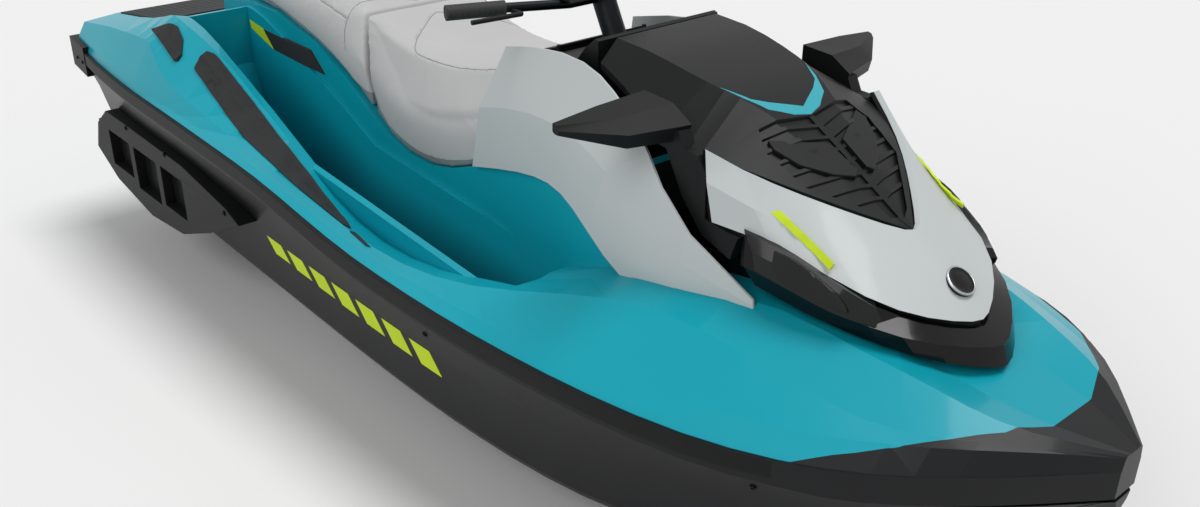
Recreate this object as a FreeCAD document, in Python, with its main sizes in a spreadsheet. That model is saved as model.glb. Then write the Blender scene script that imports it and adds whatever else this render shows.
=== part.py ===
"""Three-seat personal watercraft: hull, deck, opening hood, steering, jet drive, seats.

Lengths are millimetres. X points to the bow, Y to port, Z up. Shapes are drawn with
Z counted from the keel, and every piece is then lowered by the water height, so that
the origin lies in the calm water plane on the centreline.
"""
import FreeCAD
import Part
import Sketcher
import math
import os

Vector = FreeCAD.Vector
doc = FreeCAD.newDocument("Watercraft")

# Driving dimensions
sheet = doc.addObject("Spreadsheet::Sheet", "Sizes")
sizes = [
    ("length", 3310, "stern bumper to bow tip"),
    ("stern_reach", 1700, "origin back to the stern end"),
    ("half_beam", 625, "centreline to the outside of the rub rail"),
    ("height", 1140, "keel to the top of the handlebar"),
    ("water_height", 240, "keel to the calm water plane"),
    ("seat_gap", 0.3, "gap where one moulding rests on another"),
    ("play", 6, "free space round moving panels"),
    ("rail_thick", 14, "rub rail outside the hull flange"),
    ("rail_band", 38, "height of the rub rail"),
    ("cap_band", 58, "height of the bow cap at its rim"),
    ("tub_wall", 20, "footwell moulding thickness"),
    ("footwell_inner", 238, "centreline to the inner footwell wall"),
    ("footwell_outer", 425, "centreline to the outer footwell wall"),
    ("panel_wall", 5, "thickness of moulded outer panels"),
    ("hood_wall", 14, "thickness of the double skinned hood"),
    ("scoop_depth", 8, "depth of the air scoop's recess in the hood"),
    ("rib_wide", 7, "width of a rib in the air scoop"),
    ("hinge_pin", 4, "radius of the hood's hinge pins"),
    ("hinge_ear", 7, "half width of a hinge ear"),
    ("ear_thick", 16, "thickness of a hinge ear"),
    ("arm_drop", 30, "hood hinge axis down to the foot of its arms"),
    ("pin_wall", 1.6, "material round the pins of the hood and the glovebox"),
    ("lid_pin", 2.4, "radius of the glovebox lid's hinge pin"),
    ("hinge_spread", 62, "centreline to the hood's hinge ears"),
    ("nose_wall", 8, "thickness of the nose panel and the hood liner"),
    ("bin_wall", 6, "thickness of the storage bin moulding"),
    ("engine_length", 600, "engine with its intake box"),
    ("engine_width", 380, "engine width"),
    ("facet_limit", 0.0000001, "a four-sided facet flatter than this is one face"),
    ("pump_bore", 78, "inner radius round the impeller"),
    ("pump_wall", 10, "pump casting wall"),
    ("pump_barrel", 150, "length of the straight pump barrel"),
    ("pump_taper", 130, "length of the tapered outlet cone"),
    ("pump_outlet", 44, "outlet radius of the cone"),
    ("tip_gap", 1, "impeller blade tip to the pump bore"),
    ("hub_front", 22, "impeller hub radius at the front"),
    ("hub_back", 42, "impeller hub radius at the back"),
    ("impeller_long", 80, "impeller hub length"),
    ("blade_thick", 4, "impeller blade thickness"),
    ("vane_thick", 5, "thickness of a stator vane"),
    ("flange_rim", 14, "rim of the pump's flanges beyond its barrel"),
    ("outlet_overhang", 15, "pump outlet back to the trim ring's pivot"),
    ("pivot_step", 17.5, "trim ring's pivot back to the gate's pivot"),
    ("arm_deep", 48, "depth of the arms that carry the trim ring and the gate"),
    ("gate_pin", 3, "radius of the gate's pivot pins"),
    ("shaft_radius", 12.5, "drive shaft radius"),
    ("ring_radius", 66, "outer radius of the trim ring"),
    ("ring_wall", 5, "trim ring wall"),
    ("ring_long", 36, "trim ring length"),
    ("nozzle_radius", 58, "outer radius of the steering nozzle"),
    ("nozzle_wall", 5, "steering nozzle wall"),
    ("nozzle_long", 96, "steering nozzle length"),
    ("pin_radius", 5, "pivot pin radius"),
    ("jet_radius", 43, "radius of the nozzle's mouth"),
    ("gate_wall", 6, "reverse gate wall"),
    ("gate_reach", 133.5, "gate pivot to the inside of the gate's bucket"),
    ("tunnel_half", 158, "half width of the pump tunnel"),
    ("plate_thick", 8, "ride plate thickness"),
    ("grate_bar", 3.6, "half width of an intake grate's bar"),
    ("bar_radius", 11, "handlebar tube radius"),
    ("column_radius", 27.5, "steering column radius"),
    ("sweep_back", 91, "bar centre back to the end of a grip"),
    ("lever_reach", 46, "grip forward to its lever"),
    ("lever_radius", 5.5, "radius of a lever"),
    ("grip_radius", 17, "grip radius"),
    ("grip_long", 125, "grip length"),
    ("bar_half", 372, "centreline to the end of a grip"),
    ("steer_tilt", 28, "degrees that the column leans back"),
    ("ladder_width", 330, "boarding ladder width"),
    ("ladder_tube", 11, "boarding ladder tube radius"),
    ("ladder_pin", 7.7, "radius of the ladder's hinge bar"),
    ("mat_thick", 5, "foam traction mat thickness"),
    ("eye_radius", 11, "radius of the hole in the bow eye"),
    ("eye_wire", 6, "half thickness and rim of the bow eye"),
]
for row, (alias, value, note) in enumerate(sizes, start=1):
    sheet.set("A%d" % row, alias)
    sheet.set("B%d" % row, str(value))
    sheet.setAlias("B%d" % row, alias)
    sheet.set("C%d" % row, note)
doc.recompute()


def size(alias):
    return float(sheet.get(alias))


LENGTH = size("length")
STERN = size("stern_reach")
BEAM = size("half_beam")
HIGH = size("height")
GAP = size("seat_gap")
PLAY = size("play")


def at(share):
    """Place along the hull: share 0 is the stern end, share 1 the bow tip."""
    return share * LENGTH - STERN


# Places of the large sections along the hull and above the keel
transom_share = 0.0363
footwell_rear_share = 0.1752
footwell_front_share = 0.6465
footwell_slope_share = 0.0345
footwell_floor_share = 0.2851
footwell_rear_high_share = 0.5417
footwell_front_high_share = 0.4134
engine_front_share = 0.4955
engine_base_share = 0.0965
engine_high_share = 0.316
pump_front_share = 0.1722
pump_axis_share = 0.1535
steer_share = 0.5861
steer_high_share = 0.9123


# Shapes from rows of points
def ring(points):
    corners = [Vector(*point) for point in points]
    return Part.makePolygon(corners + corners[:1])


def facet(corners):
    return Part.Face(ring(corners))


def facets(one, two):
    """Flat facets between two rows of points: four-sided where they are flat, else triangles."""
    faces = []
    for a, b, c, d in zip(one, one[1:], two[1:], two):
        across = (b - a).cross(c - a)
        if abs((d - a).dot(across)) <= across.Length * size("facet_limit"):
            faces.append(facet([a, b, c, d]))
        elif (c - a).Length < (d - b).Length:
            faces += [facet([a, b, c]), facet([a, c, d])]
        else:
            faces += [facet([a, b, d]), facet([b, c, d])]
    return faces


def closed_body(rows, caps):
    """Sew the facets between neighbouring rows, and flat end pieces, to a solid."""
    faces = []
    for one, two in zip(rows, rows[1:] + rows[:1]):
        faces += facets(one, two)
    for end in (0, -1):
        faces += [facet([rows[index][end] for index in cap]) for cap in caps]
    shell = Part.Shell(faces)
    shell.sewShape()
    solid = Part.Solid(shell)
    if solid.Volume < 0:
        solid.reverse()
    return solid


def skin(rings):
    """A solid through cross sections with as many corners each."""
    rows = [[Vector(*point) for point in row] for row in zip(*rings)]
    return closed_body(rows, [range(len(rows))])


def prism(points, direction):
    return Part.Face(ring(points)).extrude(Vector(*direction))


def block(x_low, x_high, y_low, y_high, z_low, z_high):
    corner = Vector(x_low, y_low, z_low)
    return Part.makeBox(x_high - x_low, y_high - y_low, z_high - z_low, corner)


def rod(start, end, radius):
    span = Vector(*end) - Vector(*start)
    return Part.makeCylinder(radius, span.Length, Vector(*start), span)


def polygon_round(centre, along, radius, corners):
    """A regular polygon about an axis, as a face."""
    turn = FreeCAD.Rotation(Vector(0, 0, 1), Vector(*along))
    angles = [2 * math.pi * (corner + 0.5) / corners for corner in range(corners)]
    return facet([Vector(*centre) + turn.multVec(Vector(math.cos(angle), math.sin(angle), 0) * radius)
                  for angle in angles])


def bar_with_flats(start, end, radius, corners=16):
    """A round bar drawn with flat sides."""
    span = Vector(*end) - Vector(*start)
    return polygon_round(start, span, radius, corners).extrude(span)


def mirrored(shape):
    return shape.mirror(Vector(0, 0, 0), Vector(0, 1, 0))


def joined(shapes):
    whole = shapes[0]
    for shape in shapes[1:]:
        whole = whole.fuse(shape)
    return whole.removeSplitter()


nodes = []


def sketch_on(body, name, role, corners):
    """A closed outline of straight lines on one of a body's own planes."""
    sketch = body.newObject("Sketcher::SketchObject", name)
    plane = [item for item in body.Origin.OriginFeatures if item.Role == role][0]
    sketch.AttachmentSupport = (plane, [""])
    sketch.MapMode = "FlatFace"
    points = [Vector(u, v, 0) for u, v in corners]
    for start, end in zip(points, points[1:] + points[:1]):
        sketch.addGeometry(Part.LineSegment(start, end), False)
    for index in range(len(points)):
        after = (index + 1) % len(points)
        sketch.addConstraint(Sketcher.Constraint("Coincident", index, 2, after, 1))
    return sketch


def lower(thing):
    """Bind a piece's height to the water plane."""
    thing.setExpression("Placement.Base.z", "-Sizes.water_height")
    nodes.append(thing)
    return thing


def keep(name, shape):
    thing = doc.addObject("Part::Feature", name)
    thing.Label = name
    thing.Shape = shape
    thing.Placement = FreeCAD.Placement()
    return lower(thing)


# Long bodies drawn by smooth lines, with a strip of facets between each two
steps_per_pole = 1.6


def flow(points):
    """Steps along the smooth line that the given poles draw."""
    curve = Part.BSplineCurve()
    curve.buildFromPoles([Vector(*point) for point in points], False, 3)
    steps = round(steps_per_pole * len(points))
    span = curve.LastParameter - curve.FirstParameter
    return [curve.value(curve.FirstParameter + span * step / steps) for step in range(steps + 1)]


def strip_body(lines, caps=None):
    """Strips between the lines; each cap lists the lines that one flat end piece joins."""
    return closed_body([flow(line) for line in lines], caps or [range(len(lines))])


def paired_caps(count):
    """End pieces for a set of lines whose second half runs back beside the first."""
    return [(k, k + 1, 2 * count - 2 - k, 2 * count - 1 - k) for k in range(count - 1)]


def with_mirror(lines):
    """Close a half set of lines, from the lowest to the top, with its mirror image."""
    other = [[(x, -y, z) for x, y, z in line] for line in reversed(lines)]
    return lines + other


def line_from(stations, shares, wide=1, rise=0, thin=0):
    """A lengthwise line from width and height shares at the stations."""
    return [(at(station), (share_y * BEAM - thin * share_y) * wide, share_z * HIGH + rise)
            for station, (share_y, share_z) in zip(stations, shares)]


station_shares = [0.012, 0.060, 0.121, 0.166, 0.175, 0.211, 0.257, 0.326, 0.393, 0.453, 0.514,
                  0.574, 0.634, 0.695, 0.755, 0.816, 0.867, 0.906, 0.937, 0.965, 0.987, 1.000]
rail_shares = [(0.944, 0.538), (0.979, 0.535), (0.995, 0.528), (1.000, 0.524), (1.000, 0.523),
               (1.000, 0.521), (1.000, 0.518), (1.000, 0.511), (0.998, 0.504), (0.994, 0.481),
               (0.984, 0.453), (0.971, 0.444), (0.957, 0.439), (0.928, 0.437), (0.888, 0.437),
               (0.824, 0.439), (0.739, 0.449), (0.624, 0.456), (0.480, 0.460), (0.312, 0.463),
               (0.152, 0.465), (0.056, 0.465)]
lower_crease_shares = [
    (0.936, 0.561), (0.968, 0.557), (0.984, 0.548), (0.986, 0.543), (0.986, 0.542),
    (0.982, 0.532), (0.976, 0.525), (0.968, 0.518), (0.965, 0.509), (0.960, 0.487),
    (0.947, 0.457), (0.920, 0.449), (0.904, 0.451), (0.877, 0.456), (0.832, 0.463),
    (0.752, 0.474), (0.664, 0.482), (0.536, 0.489), (0.424, 0.498), (0.272, 0.500),
    (0.128, 0.493), (0.048, 0.487)]
upper_crease_shares = [
    (0.896, 0.596), (0.896, 0.621), (0.896, 0.639), (0.896, 0.648), (0.899, 0.648),
    (0.947, 0.579), (0.936, 0.560), (0.920, 0.524), (0.909, 0.504), (0.904, 0.484),
    (0.888, 0.455), (0.872, 0.452), (0.792, 0.469), (0.696, 0.519), (0.600, 0.556),
    (0.571, 0.542), (0.536, 0.516), (0.480, 0.498), (0.381, 0.505), (0.253, 0.504),
    (0.115, 0.496), (0.043, 0.489)]
top_edge_shares = [
    (0.720, 0.605), (0.728, 0.625), (0.744, 0.658), (0.758, 0.700), (0.760, 0.706),
    (0.768, 0.693), (0.744, 0.656), (0.739, 0.566), (0.733, 0.478), (0.723, 0.412),
    (0.712, 0.395), (0.688, 0.418), (0.608, 0.452), (0.552, 0.526), (0.496, 0.575),
    (0.381, 0.588), (0.365, 0.568), (0.312, 0.550), (0.275, 0.528), (0.211, 0.513),
    (0.093, 0.500), (0.035, 0.491)]
inner_edge_shares = [
    (0.680, 0.605), (0.680, 0.618), (0.680, 0.640), (0.680, 0.690), (0.680, 0.697),
    (0.680, 0.684), (0.680, 0.627), (0.680, 0.557), (0.680, 0.469), (0.680, 0.399),
    (0.672, 0.384), (0.648, 0.411), (0.552, 0.456), (0.480, 0.535), (0.432, 0.581),
    (0.320, 0.589), (0.192, 0.570), (0.160, 0.526), (0.128, 0.509), (0.106, 0.504),
    (0.048, 0.496), (0.019, 0.489)]
base_shares = [
    (0.700, 0.375), (0.730, 0.375), (0.730, 0.375), (0.730, 0.390), (0.730, 0.392),
    (0.730, 0.410), (0.730, 0.420), (0.730, 0.405), (0.730, 0.370), (0.730, 0.330),
    (0.730, 0.320), (0.720, 0.330), (0.690, 0.360), (0.640, 0.390), (0.580, 0.410),
    (0.500, 0.420), (0.410, 0.425), (0.320, 0.430), (0.230, 0.435), (0.140, 0.440),
    (0.070, 0.445), (0.025, 0.450)]
flange = size("rail_thick")
deck_lines = [
    line_from(station_shares, base_shares),
    line_from(station_shares, rail_shares, rise=-PLAY, thin=flange),
    line_from(station_shares, rail_shares, rise=GAP, thin=flange),
    line_from(station_shares, lower_crease_shares, thin=flange),
    line_from(station_shares, upper_crease_shares, thin=flange),
    line_from(station_shares, top_edge_shares, thin=flange),
    line_from(station_shares, inner_edge_shares, thin=flange)]
deck_outer = strip_body(with_mirror(deck_lines))

# Hull lines: keel, strake, chine, chine lip and side crease at the same stations
keel_shares = [0.000, 0.000, 0.000, 0.000, 0.000, 0.000, 0.000, 0.000, 0.000, 0.000, 0.000,
               0.000, 0.003, 0.009, 0.022, 0.048, 0.088, 0.145, 0.205, 0.275, 0.340, 0.380]
strake_shares = [
    (0.400, 0.061), (0.400, 0.061), (0.400, 0.061), (0.400, 0.061), (0.400, 0.061),
    (0.400, 0.061), (0.400, 0.061), (0.400, 0.061), (0.400, 0.061), (0.400, 0.061),
    (0.400, 0.061), (0.400, 0.061), (0.396, 0.063), (0.384, 0.067), (0.350, 0.077),
    (0.300, 0.097), (0.240, 0.131), (0.172, 0.180), (0.122, 0.232), (0.074, 0.290),
    (0.034, 0.346), (0.012, 0.384)]
chine_shares = [
    (0.766, 0.142), (0.776, 0.142), (0.786, 0.142), (0.792, 0.142), (0.793, 0.142),
    (0.796, 0.140), (0.799, 0.138), (0.802, 0.134), (0.802, 0.129), (0.802, 0.124),
    (0.800, 0.120), (0.794, 0.117), (0.780, 0.118), (0.752, 0.121), (0.702, 0.132),
    (0.614, 0.158), (0.508, 0.194), (0.392, 0.238), (0.290, 0.280), (0.180, 0.322),
    (0.084, 0.362), (0.030, 0.392)]
side_shares = [
    (0.855, 0.333), (0.864, 0.334), (0.872, 0.336), (0.876, 0.337), (0.877, 0.338),
    (0.879, 0.337), (0.881, 0.335), (0.883, 0.333), (0.884, 0.325), (0.884, 0.316),
    (0.882, 0.308), (0.877, 0.303), (0.866, 0.302), (0.846, 0.303), (0.806, 0.304),
    (0.730, 0.308), (0.628, 0.316), (0.508, 0.328), (0.386, 0.340), (0.246, 0.358),
    (0.124, 0.400), (0.052, 0.430)]
chine_lip_share = 0.016
keel_line = [(at(station), 0, high * HIGH) for station, high in zip(station_shares, keel_shares)]
lip_shares = [(wide + chine_lip_share, high + chine_lip_share) for wide, high in chine_shares]
hull_lines = [
    line_from(station_shares, strake_shares),
    line_from(station_shares, chine_shares),
    line_from(station_shares, lip_shares),
    line_from(station_shares, side_shares),
    line_from(station_shares, rail_shares, rise=-size("cap_band"), thin=flange),
    line_from(station_shares, rail_shares, rise=-PLAY - GAP, thin=flange),
    line_from(station_shares, base_shares, rise=-GAP)]
hull_outer = strip_body([keel_line] + with_mirror(hull_lines))
hull_outer = hull_outer.common(block(at(transom_share), LENGTH, -BEAM, BEAM, 0, HIGH))

# Footwells: one channel each side of the seat pedestal, cut down through the deck
floor = footwell_floor_share * HIGH
well_in = size("footwell_inner")
well_out = size("footwell_outer")
tub = size("tub_wall")


def well_ring(x, low, inner, outer):
    return [(x, inner, low), (x, outer, low), (x, outer, HIGH), (x, inner, HIGH)]


rear = at(footwell_rear_share)
front = at(footwell_front_share)
run = footwell_slope_share * LENGTH
well_rear_high = footwell_rear_high_share * HIGH
well_front_high = footwell_front_high_share * HIGH
well_space = skin([well_ring(rear, well_rear_high, well_in, well_out),
                   well_ring(rear + run, floor, well_in, well_out),
                   well_ring(front - run, floor, well_in, well_out),
                   well_ring(front, well_front_high, well_in, well_out)])
wells_space = well_space.fuse(mirrored(well_space))


def tub_shape(grow):
    """The footwell moulding's outside, below the rail, with the seat pedestal between."""
    wide = well_out + tub + grow
    low = floor - tub - grow
    outline = [(rear - tub - grow, well_rear_high - tub), (rear + run - grow, low),
               (front - run + grow, low), (front + tub + grow, well_front_high - tub),
               (front + tub + grow, well_front_high + tub),
               (rear - tub - grow, well_rear_high - tub + grow)]
    return prism([(x, -wide, z) for x, z in outline], (0, 2 * wide, 0))


# Storage bin under the hood
bin_rear_share = 0.700
bin_front_share = 0.855
bin_wide_rear_share = 0.38
bin_wide_front_share = 0.24
bin_floor_share = 0.31
bin_rim_share = 0.612
bin_floor = bin_floor_share * HIGH
bin_rim = bin_rim_share * HIGH


def bin_shape(grow, low, high):
    x_rear = at(bin_rear_share) - grow
    x_front = at(bin_front_share) + grow
    y_rear = bin_wide_rear_share * BEAM + grow
    y_front = bin_wide_front_share * BEAM + grow
    return prism([(x_rear, -y_rear, low), (x_front, -y_front, low), (x_front, y_front, low),
                  (x_rear, y_rear, low)], (0, 0, high - low))


bin_wall = size("bin_wall")
storage_bin = bin_shape(0, bin_floor, bin_rim).cut(
    bin_shape(-bin_wall, bin_floor + bin_wall, HIGH))
keep("storage_bin", storage_bin)
bin_pocket = bin_shape(GAP, bin_floor - GAP, HIGH)

# Bow cap: the nose outside a boundary drawn on the deck
cap_edge_shares = [(0.862, 1.20), (0.869, 0.735), (0.919, 0.480), (0.953, 0.254),
                   (0.964, 0.106)]
cap_edge = [(at(share), wide * BEAM, 0) for share, wide in cap_edge_shares]
beyond_bow_share = 1.05
nose_end = at(beyond_bow_share)
cap_plan = cap_edge + [(x, -y, z) for x, y, z in reversed(cap_edge)]
cap_plan += [(nose_end, -cap_edge[0][1], 0), (nose_end, cap_edge[0][1], 0)]
cap_low_share = 0.405
cap_low = cap_low_share * HIGH
cap_region = prism([(x, y, cap_low) for x, y, z in cap_plan], (0, 0, HIGH))


def rail_band(inset, low, high):
    lines = [line_from(station_shares, rail_shares, rise=low, thin=inset),
             line_from(station_shares, rail_shares, rise=high, thin=inset)]
    return strip_body(with_mirror(lines))


cap_rim = rail_band(0, -size("cap_band"), 0)
bow_cap = deck_outer.fuse(cap_rim).common(cap_region)
keep("bow_cap", bow_cap)

# Rub rails: one band each side from the stern bumper to the bow cap
rail_band_low = -size("rail_band")
rail_back = flange - GAP
rail_lines = [line_from(station_shares, rail_shares, rise=rail_band_low),
              line_from(station_shares, rail_shares, rise=GAP),
              line_from(station_shares, rail_shares, rise=GAP, thin=rail_back),
              line_from(station_shares, rail_shares, rise=rail_band_low, thin=rail_back)]
rail_whole = strip_body(rail_lines)
stern_cut_share = 0.045
stern_cut = at(stern_cut_share)
rail_side = rail_whole.common(block(stern_cut + GAP, nose_end, GAP, 2 * BEAM, 0, HIGH))
rail_side = rail_side.cut(cap_region)
keep("rub_rail_port", rail_side)
keep("rub_rail_starboard", mirrored(rail_side))

# Stern bumpers: the corner blocks that end each rail
bumper_stations = [0] + station_shares[1:]
bumper_low_share = 2.0
bumper_high_share = 0.5
bumper_thick_share = 3.0
bumper_low = bumper_low_share * rail_band_low
bumper_high = -bumper_high_share * rail_band_low
bumper_thick = bumper_thick_share * flange
bumper_lines = [line_from(bumper_stations, rail_shares, rise=bumper_low),
                line_from(bumper_stations, rail_shares, rise=bumper_high),
                line_from(bumper_stations, rail_shares, rise=bumper_high, thin=bumper_thick),
                line_from(bumper_stations, rail_shares, rise=bumper_low, thin=bumper_thick)]
bumper = strip_body(bumper_lines).common(block(at(0), stern_cut, 0, 2 * BEAM, 0, HIGH))
bumper = bumper.cut(deck_outer).cut(hull_outer)
keep("stern_bumpers", Part.Compound([bumper, mirrored(bumper)]))

# Hull with its pockets
axis_z = pump_axis_share * HIGH
pump_x = at(pump_front_share)
pump_wall = size("pump_wall")
tunnel_front = pump_x + pump_wall
tunnel_half = size("tunnel_half")
tunnel_roof = axis_z + size("gate_reach") + size("gate_wall") + 3 * PLAY
tunnel = block(-LENGTH, tunnel_front, -tunnel_half, tunnel_half, -floor, tunnel_roof)
duct_half = size("pump_bore")
duct_rear = tunnel_front - GAP
duct_bend_share = 0.250
duct_bend_high_share = 0.7
duct_front_share = 0.330
duct_mouth_share = 0.212
duct = prism([(duct_rear, -duct_half, axis_z - duct_half), (duct_rear, -duct_half, axis_z + duct_half),
              (at(duct_bend_share), -duct_half, axis_z + duct_bend_high_share * duct_half),
              (at(duct_front_share), -duct_half, -tub),
              (at(duct_mouth_share), -duct_half, -tub)], (0, 2 * duct_half, 0))
engine_front = at(engine_front_share)
engine_rear = engine_front - size("engine_length")
engine_low = engine_base_share * HIGH
engine_top = engine_low + engine_high_share * HIGH
bay_half = size("engine_width") / 2 + PLAY
engine_bay = block(engine_rear - tub, engine_front + tub, -bay_half, bay_half, engine_low - PLAY,
                   engine_top + PLAY)
shaft_end = engine_rear - GAP
shaft_radius = size("shaft_radius")
slide_fit_share = 1 / 6
slide_fit = slide_fit_share * GAP
shaft_way = rod((duct_rear, 0, axis_z), (shaft_end + tub, 0, axis_z), shaft_radius + slide_fit_share * PLAY)
hull = hull_outer.cut(tunnel).cut(duct).cut(engine_bay).cut(bin_pocket).cut(cap_region)
hull = hull.cut(tub_shape(GAP)).cut(shaft_way)
keep("hull", hull)

# Deck: outer skin with footwells and the seat pedestal in one moulding
pedestal_shares = [
    (0.118, 0.700, 0.372), (0.212, 0.728, 0.372), (0.321, 0.672, 0.376), (0.384, 0.522, 0.376),
    (0.453, 0.482, 0.372), (0.511, 0.540, 0.368), (0.556, 0.600, 0.375), (0.604, 0.645, 0.410),
    (0.647, 0.648, 0.450), (0.689, 0.560, 0.475), (0.720, 0.500, 0.480)]
pedestal_top_share = 0.97


def pedestal_ring(share, high, wide):
    x = at(share)
    top = pedestal_top_share * wide
    return [(x, -wide * BEAM, floor), (x, wide * BEAM, floor),
            (x, top * BEAM, high * HIGH), (x, -top * BEAM, high * HIGH)]


pedestal_rings = [pedestal_ring(*row) for row in pedestal_shares]
pedestal = strip_body([list(line) for line in zip(*pedestal_rings)])
deck = deck_outer.fuse(tub_shape(0)).cut(wells_space)
deck = deck.fuse(pedestal.cut(hull))
deck = deck.cut(bin_pocket).cut(cap_region).cut(engine_bay).cut(tunnel)
keep("deck", deck)

engine = doc.addObject("Part::Box", "engine_block")
engine.Label = "engine_block"
engine.setExpression("Length", "Sizes.engine_length")
engine.setExpression("Width", "Sizes.engine_width")
engine.setExpression("Height", "Sizes.height * %s" % engine_high_share)
engine.setExpression("Placement.Base.x", "Sizes.length * %s - Sizes.stern_reach - Sizes.engine_length"
                     % engine_front_share)
engine.setExpression("Placement.Base.y", "-Sizes.engine_width / 2")
engine.setExpression("Placement.Base.z", "Sizes.height * %s - Sizes.water_height" % engine_base_share)
nodes.append(engine)


# Hood: a double skinned lid over the storage bin, hinged in front of the steering
def line_through(shares, shift=(0, 0, 0)):
    return [(at(x) + shift[0], y * BEAM + shift[1], z * HIGH + shift[2]) for x, y, z in shares]


hood_wall = size("hood_wall")
hood_edge_shares = [
    (0.648, 0.312, 0.873), (0.674, 0.339, 0.858), (0.701, 0.381, 0.829), (0.731, 0.413, 0.811),
    (0.755, 0.408, 0.805), (0.776, 0.355, 0.791), (0.802, 0.275, 0.768), (0.828, 0.147, 0.732),
    (0.851, 0.010, 0.699)]
hood_top_shares = [
    (0.648, 0.240, 0.912), (0.674, 0.240, 0.911), (0.701, 0.235, 0.896), (0.734, 0.211, 0.877),
    (0.755, 0.168, 0.858), (0.776, 0.128, 0.829), (0.802, 0.088, 0.785), (0.828, 0.048, 0.741),
    (0.851, 0.005, 0.702)]
nose_upper_shares = [
    (0.762, 0.426, 0.820), (0.779, 0.381, 0.796), (0.802, 0.304, 0.770), (0.828, 0.176, 0.735),
    (0.855, 0.030, 0.699)]
nose_middle_shares = [
    (0.767, 0.442, 0.768), (0.792, 0.406, 0.744), (0.825, 0.320, 0.712), (0.855, 0.198, 0.681),
    (0.882, 0.030, 0.656)]
nose_lower_shares = [
    (0.773, 0.442, 0.702), (0.802, 0.400, 0.707), (0.858, 0.342, 0.654), (0.887, 0.211, 0.616),
    (0.905, 0.030, 0.593)]
jaw_upper_shares = [
    (0.795, 0.419, 0.693), (0.816, 0.389, 0.686), (0.858, 0.328, 0.641), (0.887, 0.200, 0.604),
    (0.906, 0.030, 0.581)]
jaw_middle_shares = [
    (0.798, 0.435, 0.647), (0.822, 0.422, 0.639), (0.861, 0.365, 0.611), (0.897, 0.243, 0.586),
    (0.920, 0.030, 0.565)]
jaw_lower_shares = [
    (0.804, 0.413, 0.614), (0.834, 0.381, 0.593), (0.867, 0.325, 0.577), (0.903, 0.221, 0.556),
    (0.924, 0.030, 0.532)]
panel_top_shares = [
    (0.551, 0.320, 0.838), (0.585, 0.333, 0.864), (0.640, 0.346, 0.886), (0.683, 0.394, 0.838),
    (0.725, 0.464, 0.794), (0.755, 0.512, 0.676), (0.805, 0.425, 0.590)]
panel_middle_shares = [
    (0.533, 0.381, 0.702), (0.571, 0.400, 0.737), (0.622, 0.440, 0.763), (0.665, 0.461, 0.746),
    (0.707, 0.496, 0.702), (0.751, 0.526, 0.614), (0.806, 0.428, 0.580)]
panel_lower_shares = [
    (0.523, 0.387, 0.561), (0.556, 0.394, 0.588), (0.604, 0.419, 0.627), (0.647, 0.459, 0.632),
    (0.689, 0.488, 0.544), (0.745, 0.528, 0.500), (0.807, 0.420, 0.535)]


def panel_between(lines, shift, back=(0, 0, 0), around=False):
    """A moulded panel: its outer lines, and the same lines shifted inward behind them."""
    outer = [line_through(line, back) for line in lines]
    total = [near + far for near, far in zip(back, shift)]
    inner = [line_through(line, total) for line in reversed(lines)]
    both = outer + inner
    if around:
        both = [line + [(x, -y, z) for x, y, z in reversed(line)] for line in both]
    return strip_body(both, paired_caps(len(lines)))


under = (0, 0, -hood_wall)
hood_lines = [line_through(hood_edge_shares, under), line_through(hood_edge_shares),
              line_through(hood_top_shares)]
hood_inside = [[(x, -y, z) for x, y, z in line_through(hood_top_shares, under)],
               line_through(hood_top_shares, under)]
hood_other = [[(x, -y, z) for x, y, z in line] for line in reversed(hood_lines)]
hood_skin = strip_body(hood_lines + hood_other + hood_inside)

# Air scoop in the hood: a recess that ends in a point, with slanted ribs each side
scoop_depth = size("scoop_depth")
rib_wide = size("rib_wide")
scoop_shares = [(0.772, 0), (0.766, 0.215), (0.779, 0.252), (0.806, 0.225), (0.840, 0.050),
                (0.845, 0)]
scoop_half = [(at(x), y * BEAM, 0) for x, y in scoop_shares]
scoop_plan = scoop_half + [(x, -y, z) for x, y, z in reversed(scoop_half[1:-1])]
scoop_space = prism(scoop_plan, (0, 0, HIGH))
recess = scoop_space.common(hood_skin.translated(Vector(0, 0, hood_wall - scoop_depth)))
hood_top = hood_skin.cut(recess)
rib_count = 7
rib_first_share = 0.778
rib_pitch_share = 0.0085
rib_slant_share = 0.020
rib_top = scoop_depth / 3
below_rib_top = hood_skin.cut(hood_skin.translated(Vector(0, 0, hood_wall - rib_top)))
ribs = []
for number in range(rib_count):
    root = at(rib_first_share + number * rib_pitch_share)
    end = root - rib_slant_share * LENGTH
    for side in (-1, 1):
        rib = prism([(root, 0, 0), (root + rib_wide, 0, 0), (end + rib_wide, side * BEAM / 2, 0),
                     (end, side * BEAM / 2, 0)], (0, 0, HIGH))
        ribs.append(rib.common(scoop_space).common(below_rib_top))
spine = block(at(scoop_shares[1][0]), at(scoop_shares[-1][0]), -rib_wide, rib_wide, 0, HIGH)
ribs.append(spine.common(scoop_space).common(below_rib_top))
hood_top = joined([hood_top] + ribs)

# Hinge at the hood's rear edge: two ears with pins, for the arms that stand on the console
hinge_pin = size("hinge_pin")
pin_wall = size("pin_wall")
ear_half = size("hinge_ear")
hinge_x = at(hood_top_shares[0][0]) + ear_half
hinge_z = hood_top_shares[0][2] * HIGH - hood_wall - ear_half
ear_in = size("hinge_spread")
ear_thick = size("ear_thick")
ear_out = ear_in + ear_thick
arm_out = ear_out + 2 * ear_thick
for side in (-1, 1):
    ear = block(hinge_x - ear_half, hinge_x + ear_half, ear_in, ear_out, hinge_z - ear_half,
                hinge_z + ear_half + GAP)
    knuckle = ear.fuse(rod((hinge_x, ear_in, hinge_z), (hinge_x, arm_out, hinge_z), hinge_pin))
    hood_top = hood_top.fuse(knuckle if side > 0 else mirrored(knuckle))
keep("hood_top", hood_top.removeSplitter())

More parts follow.
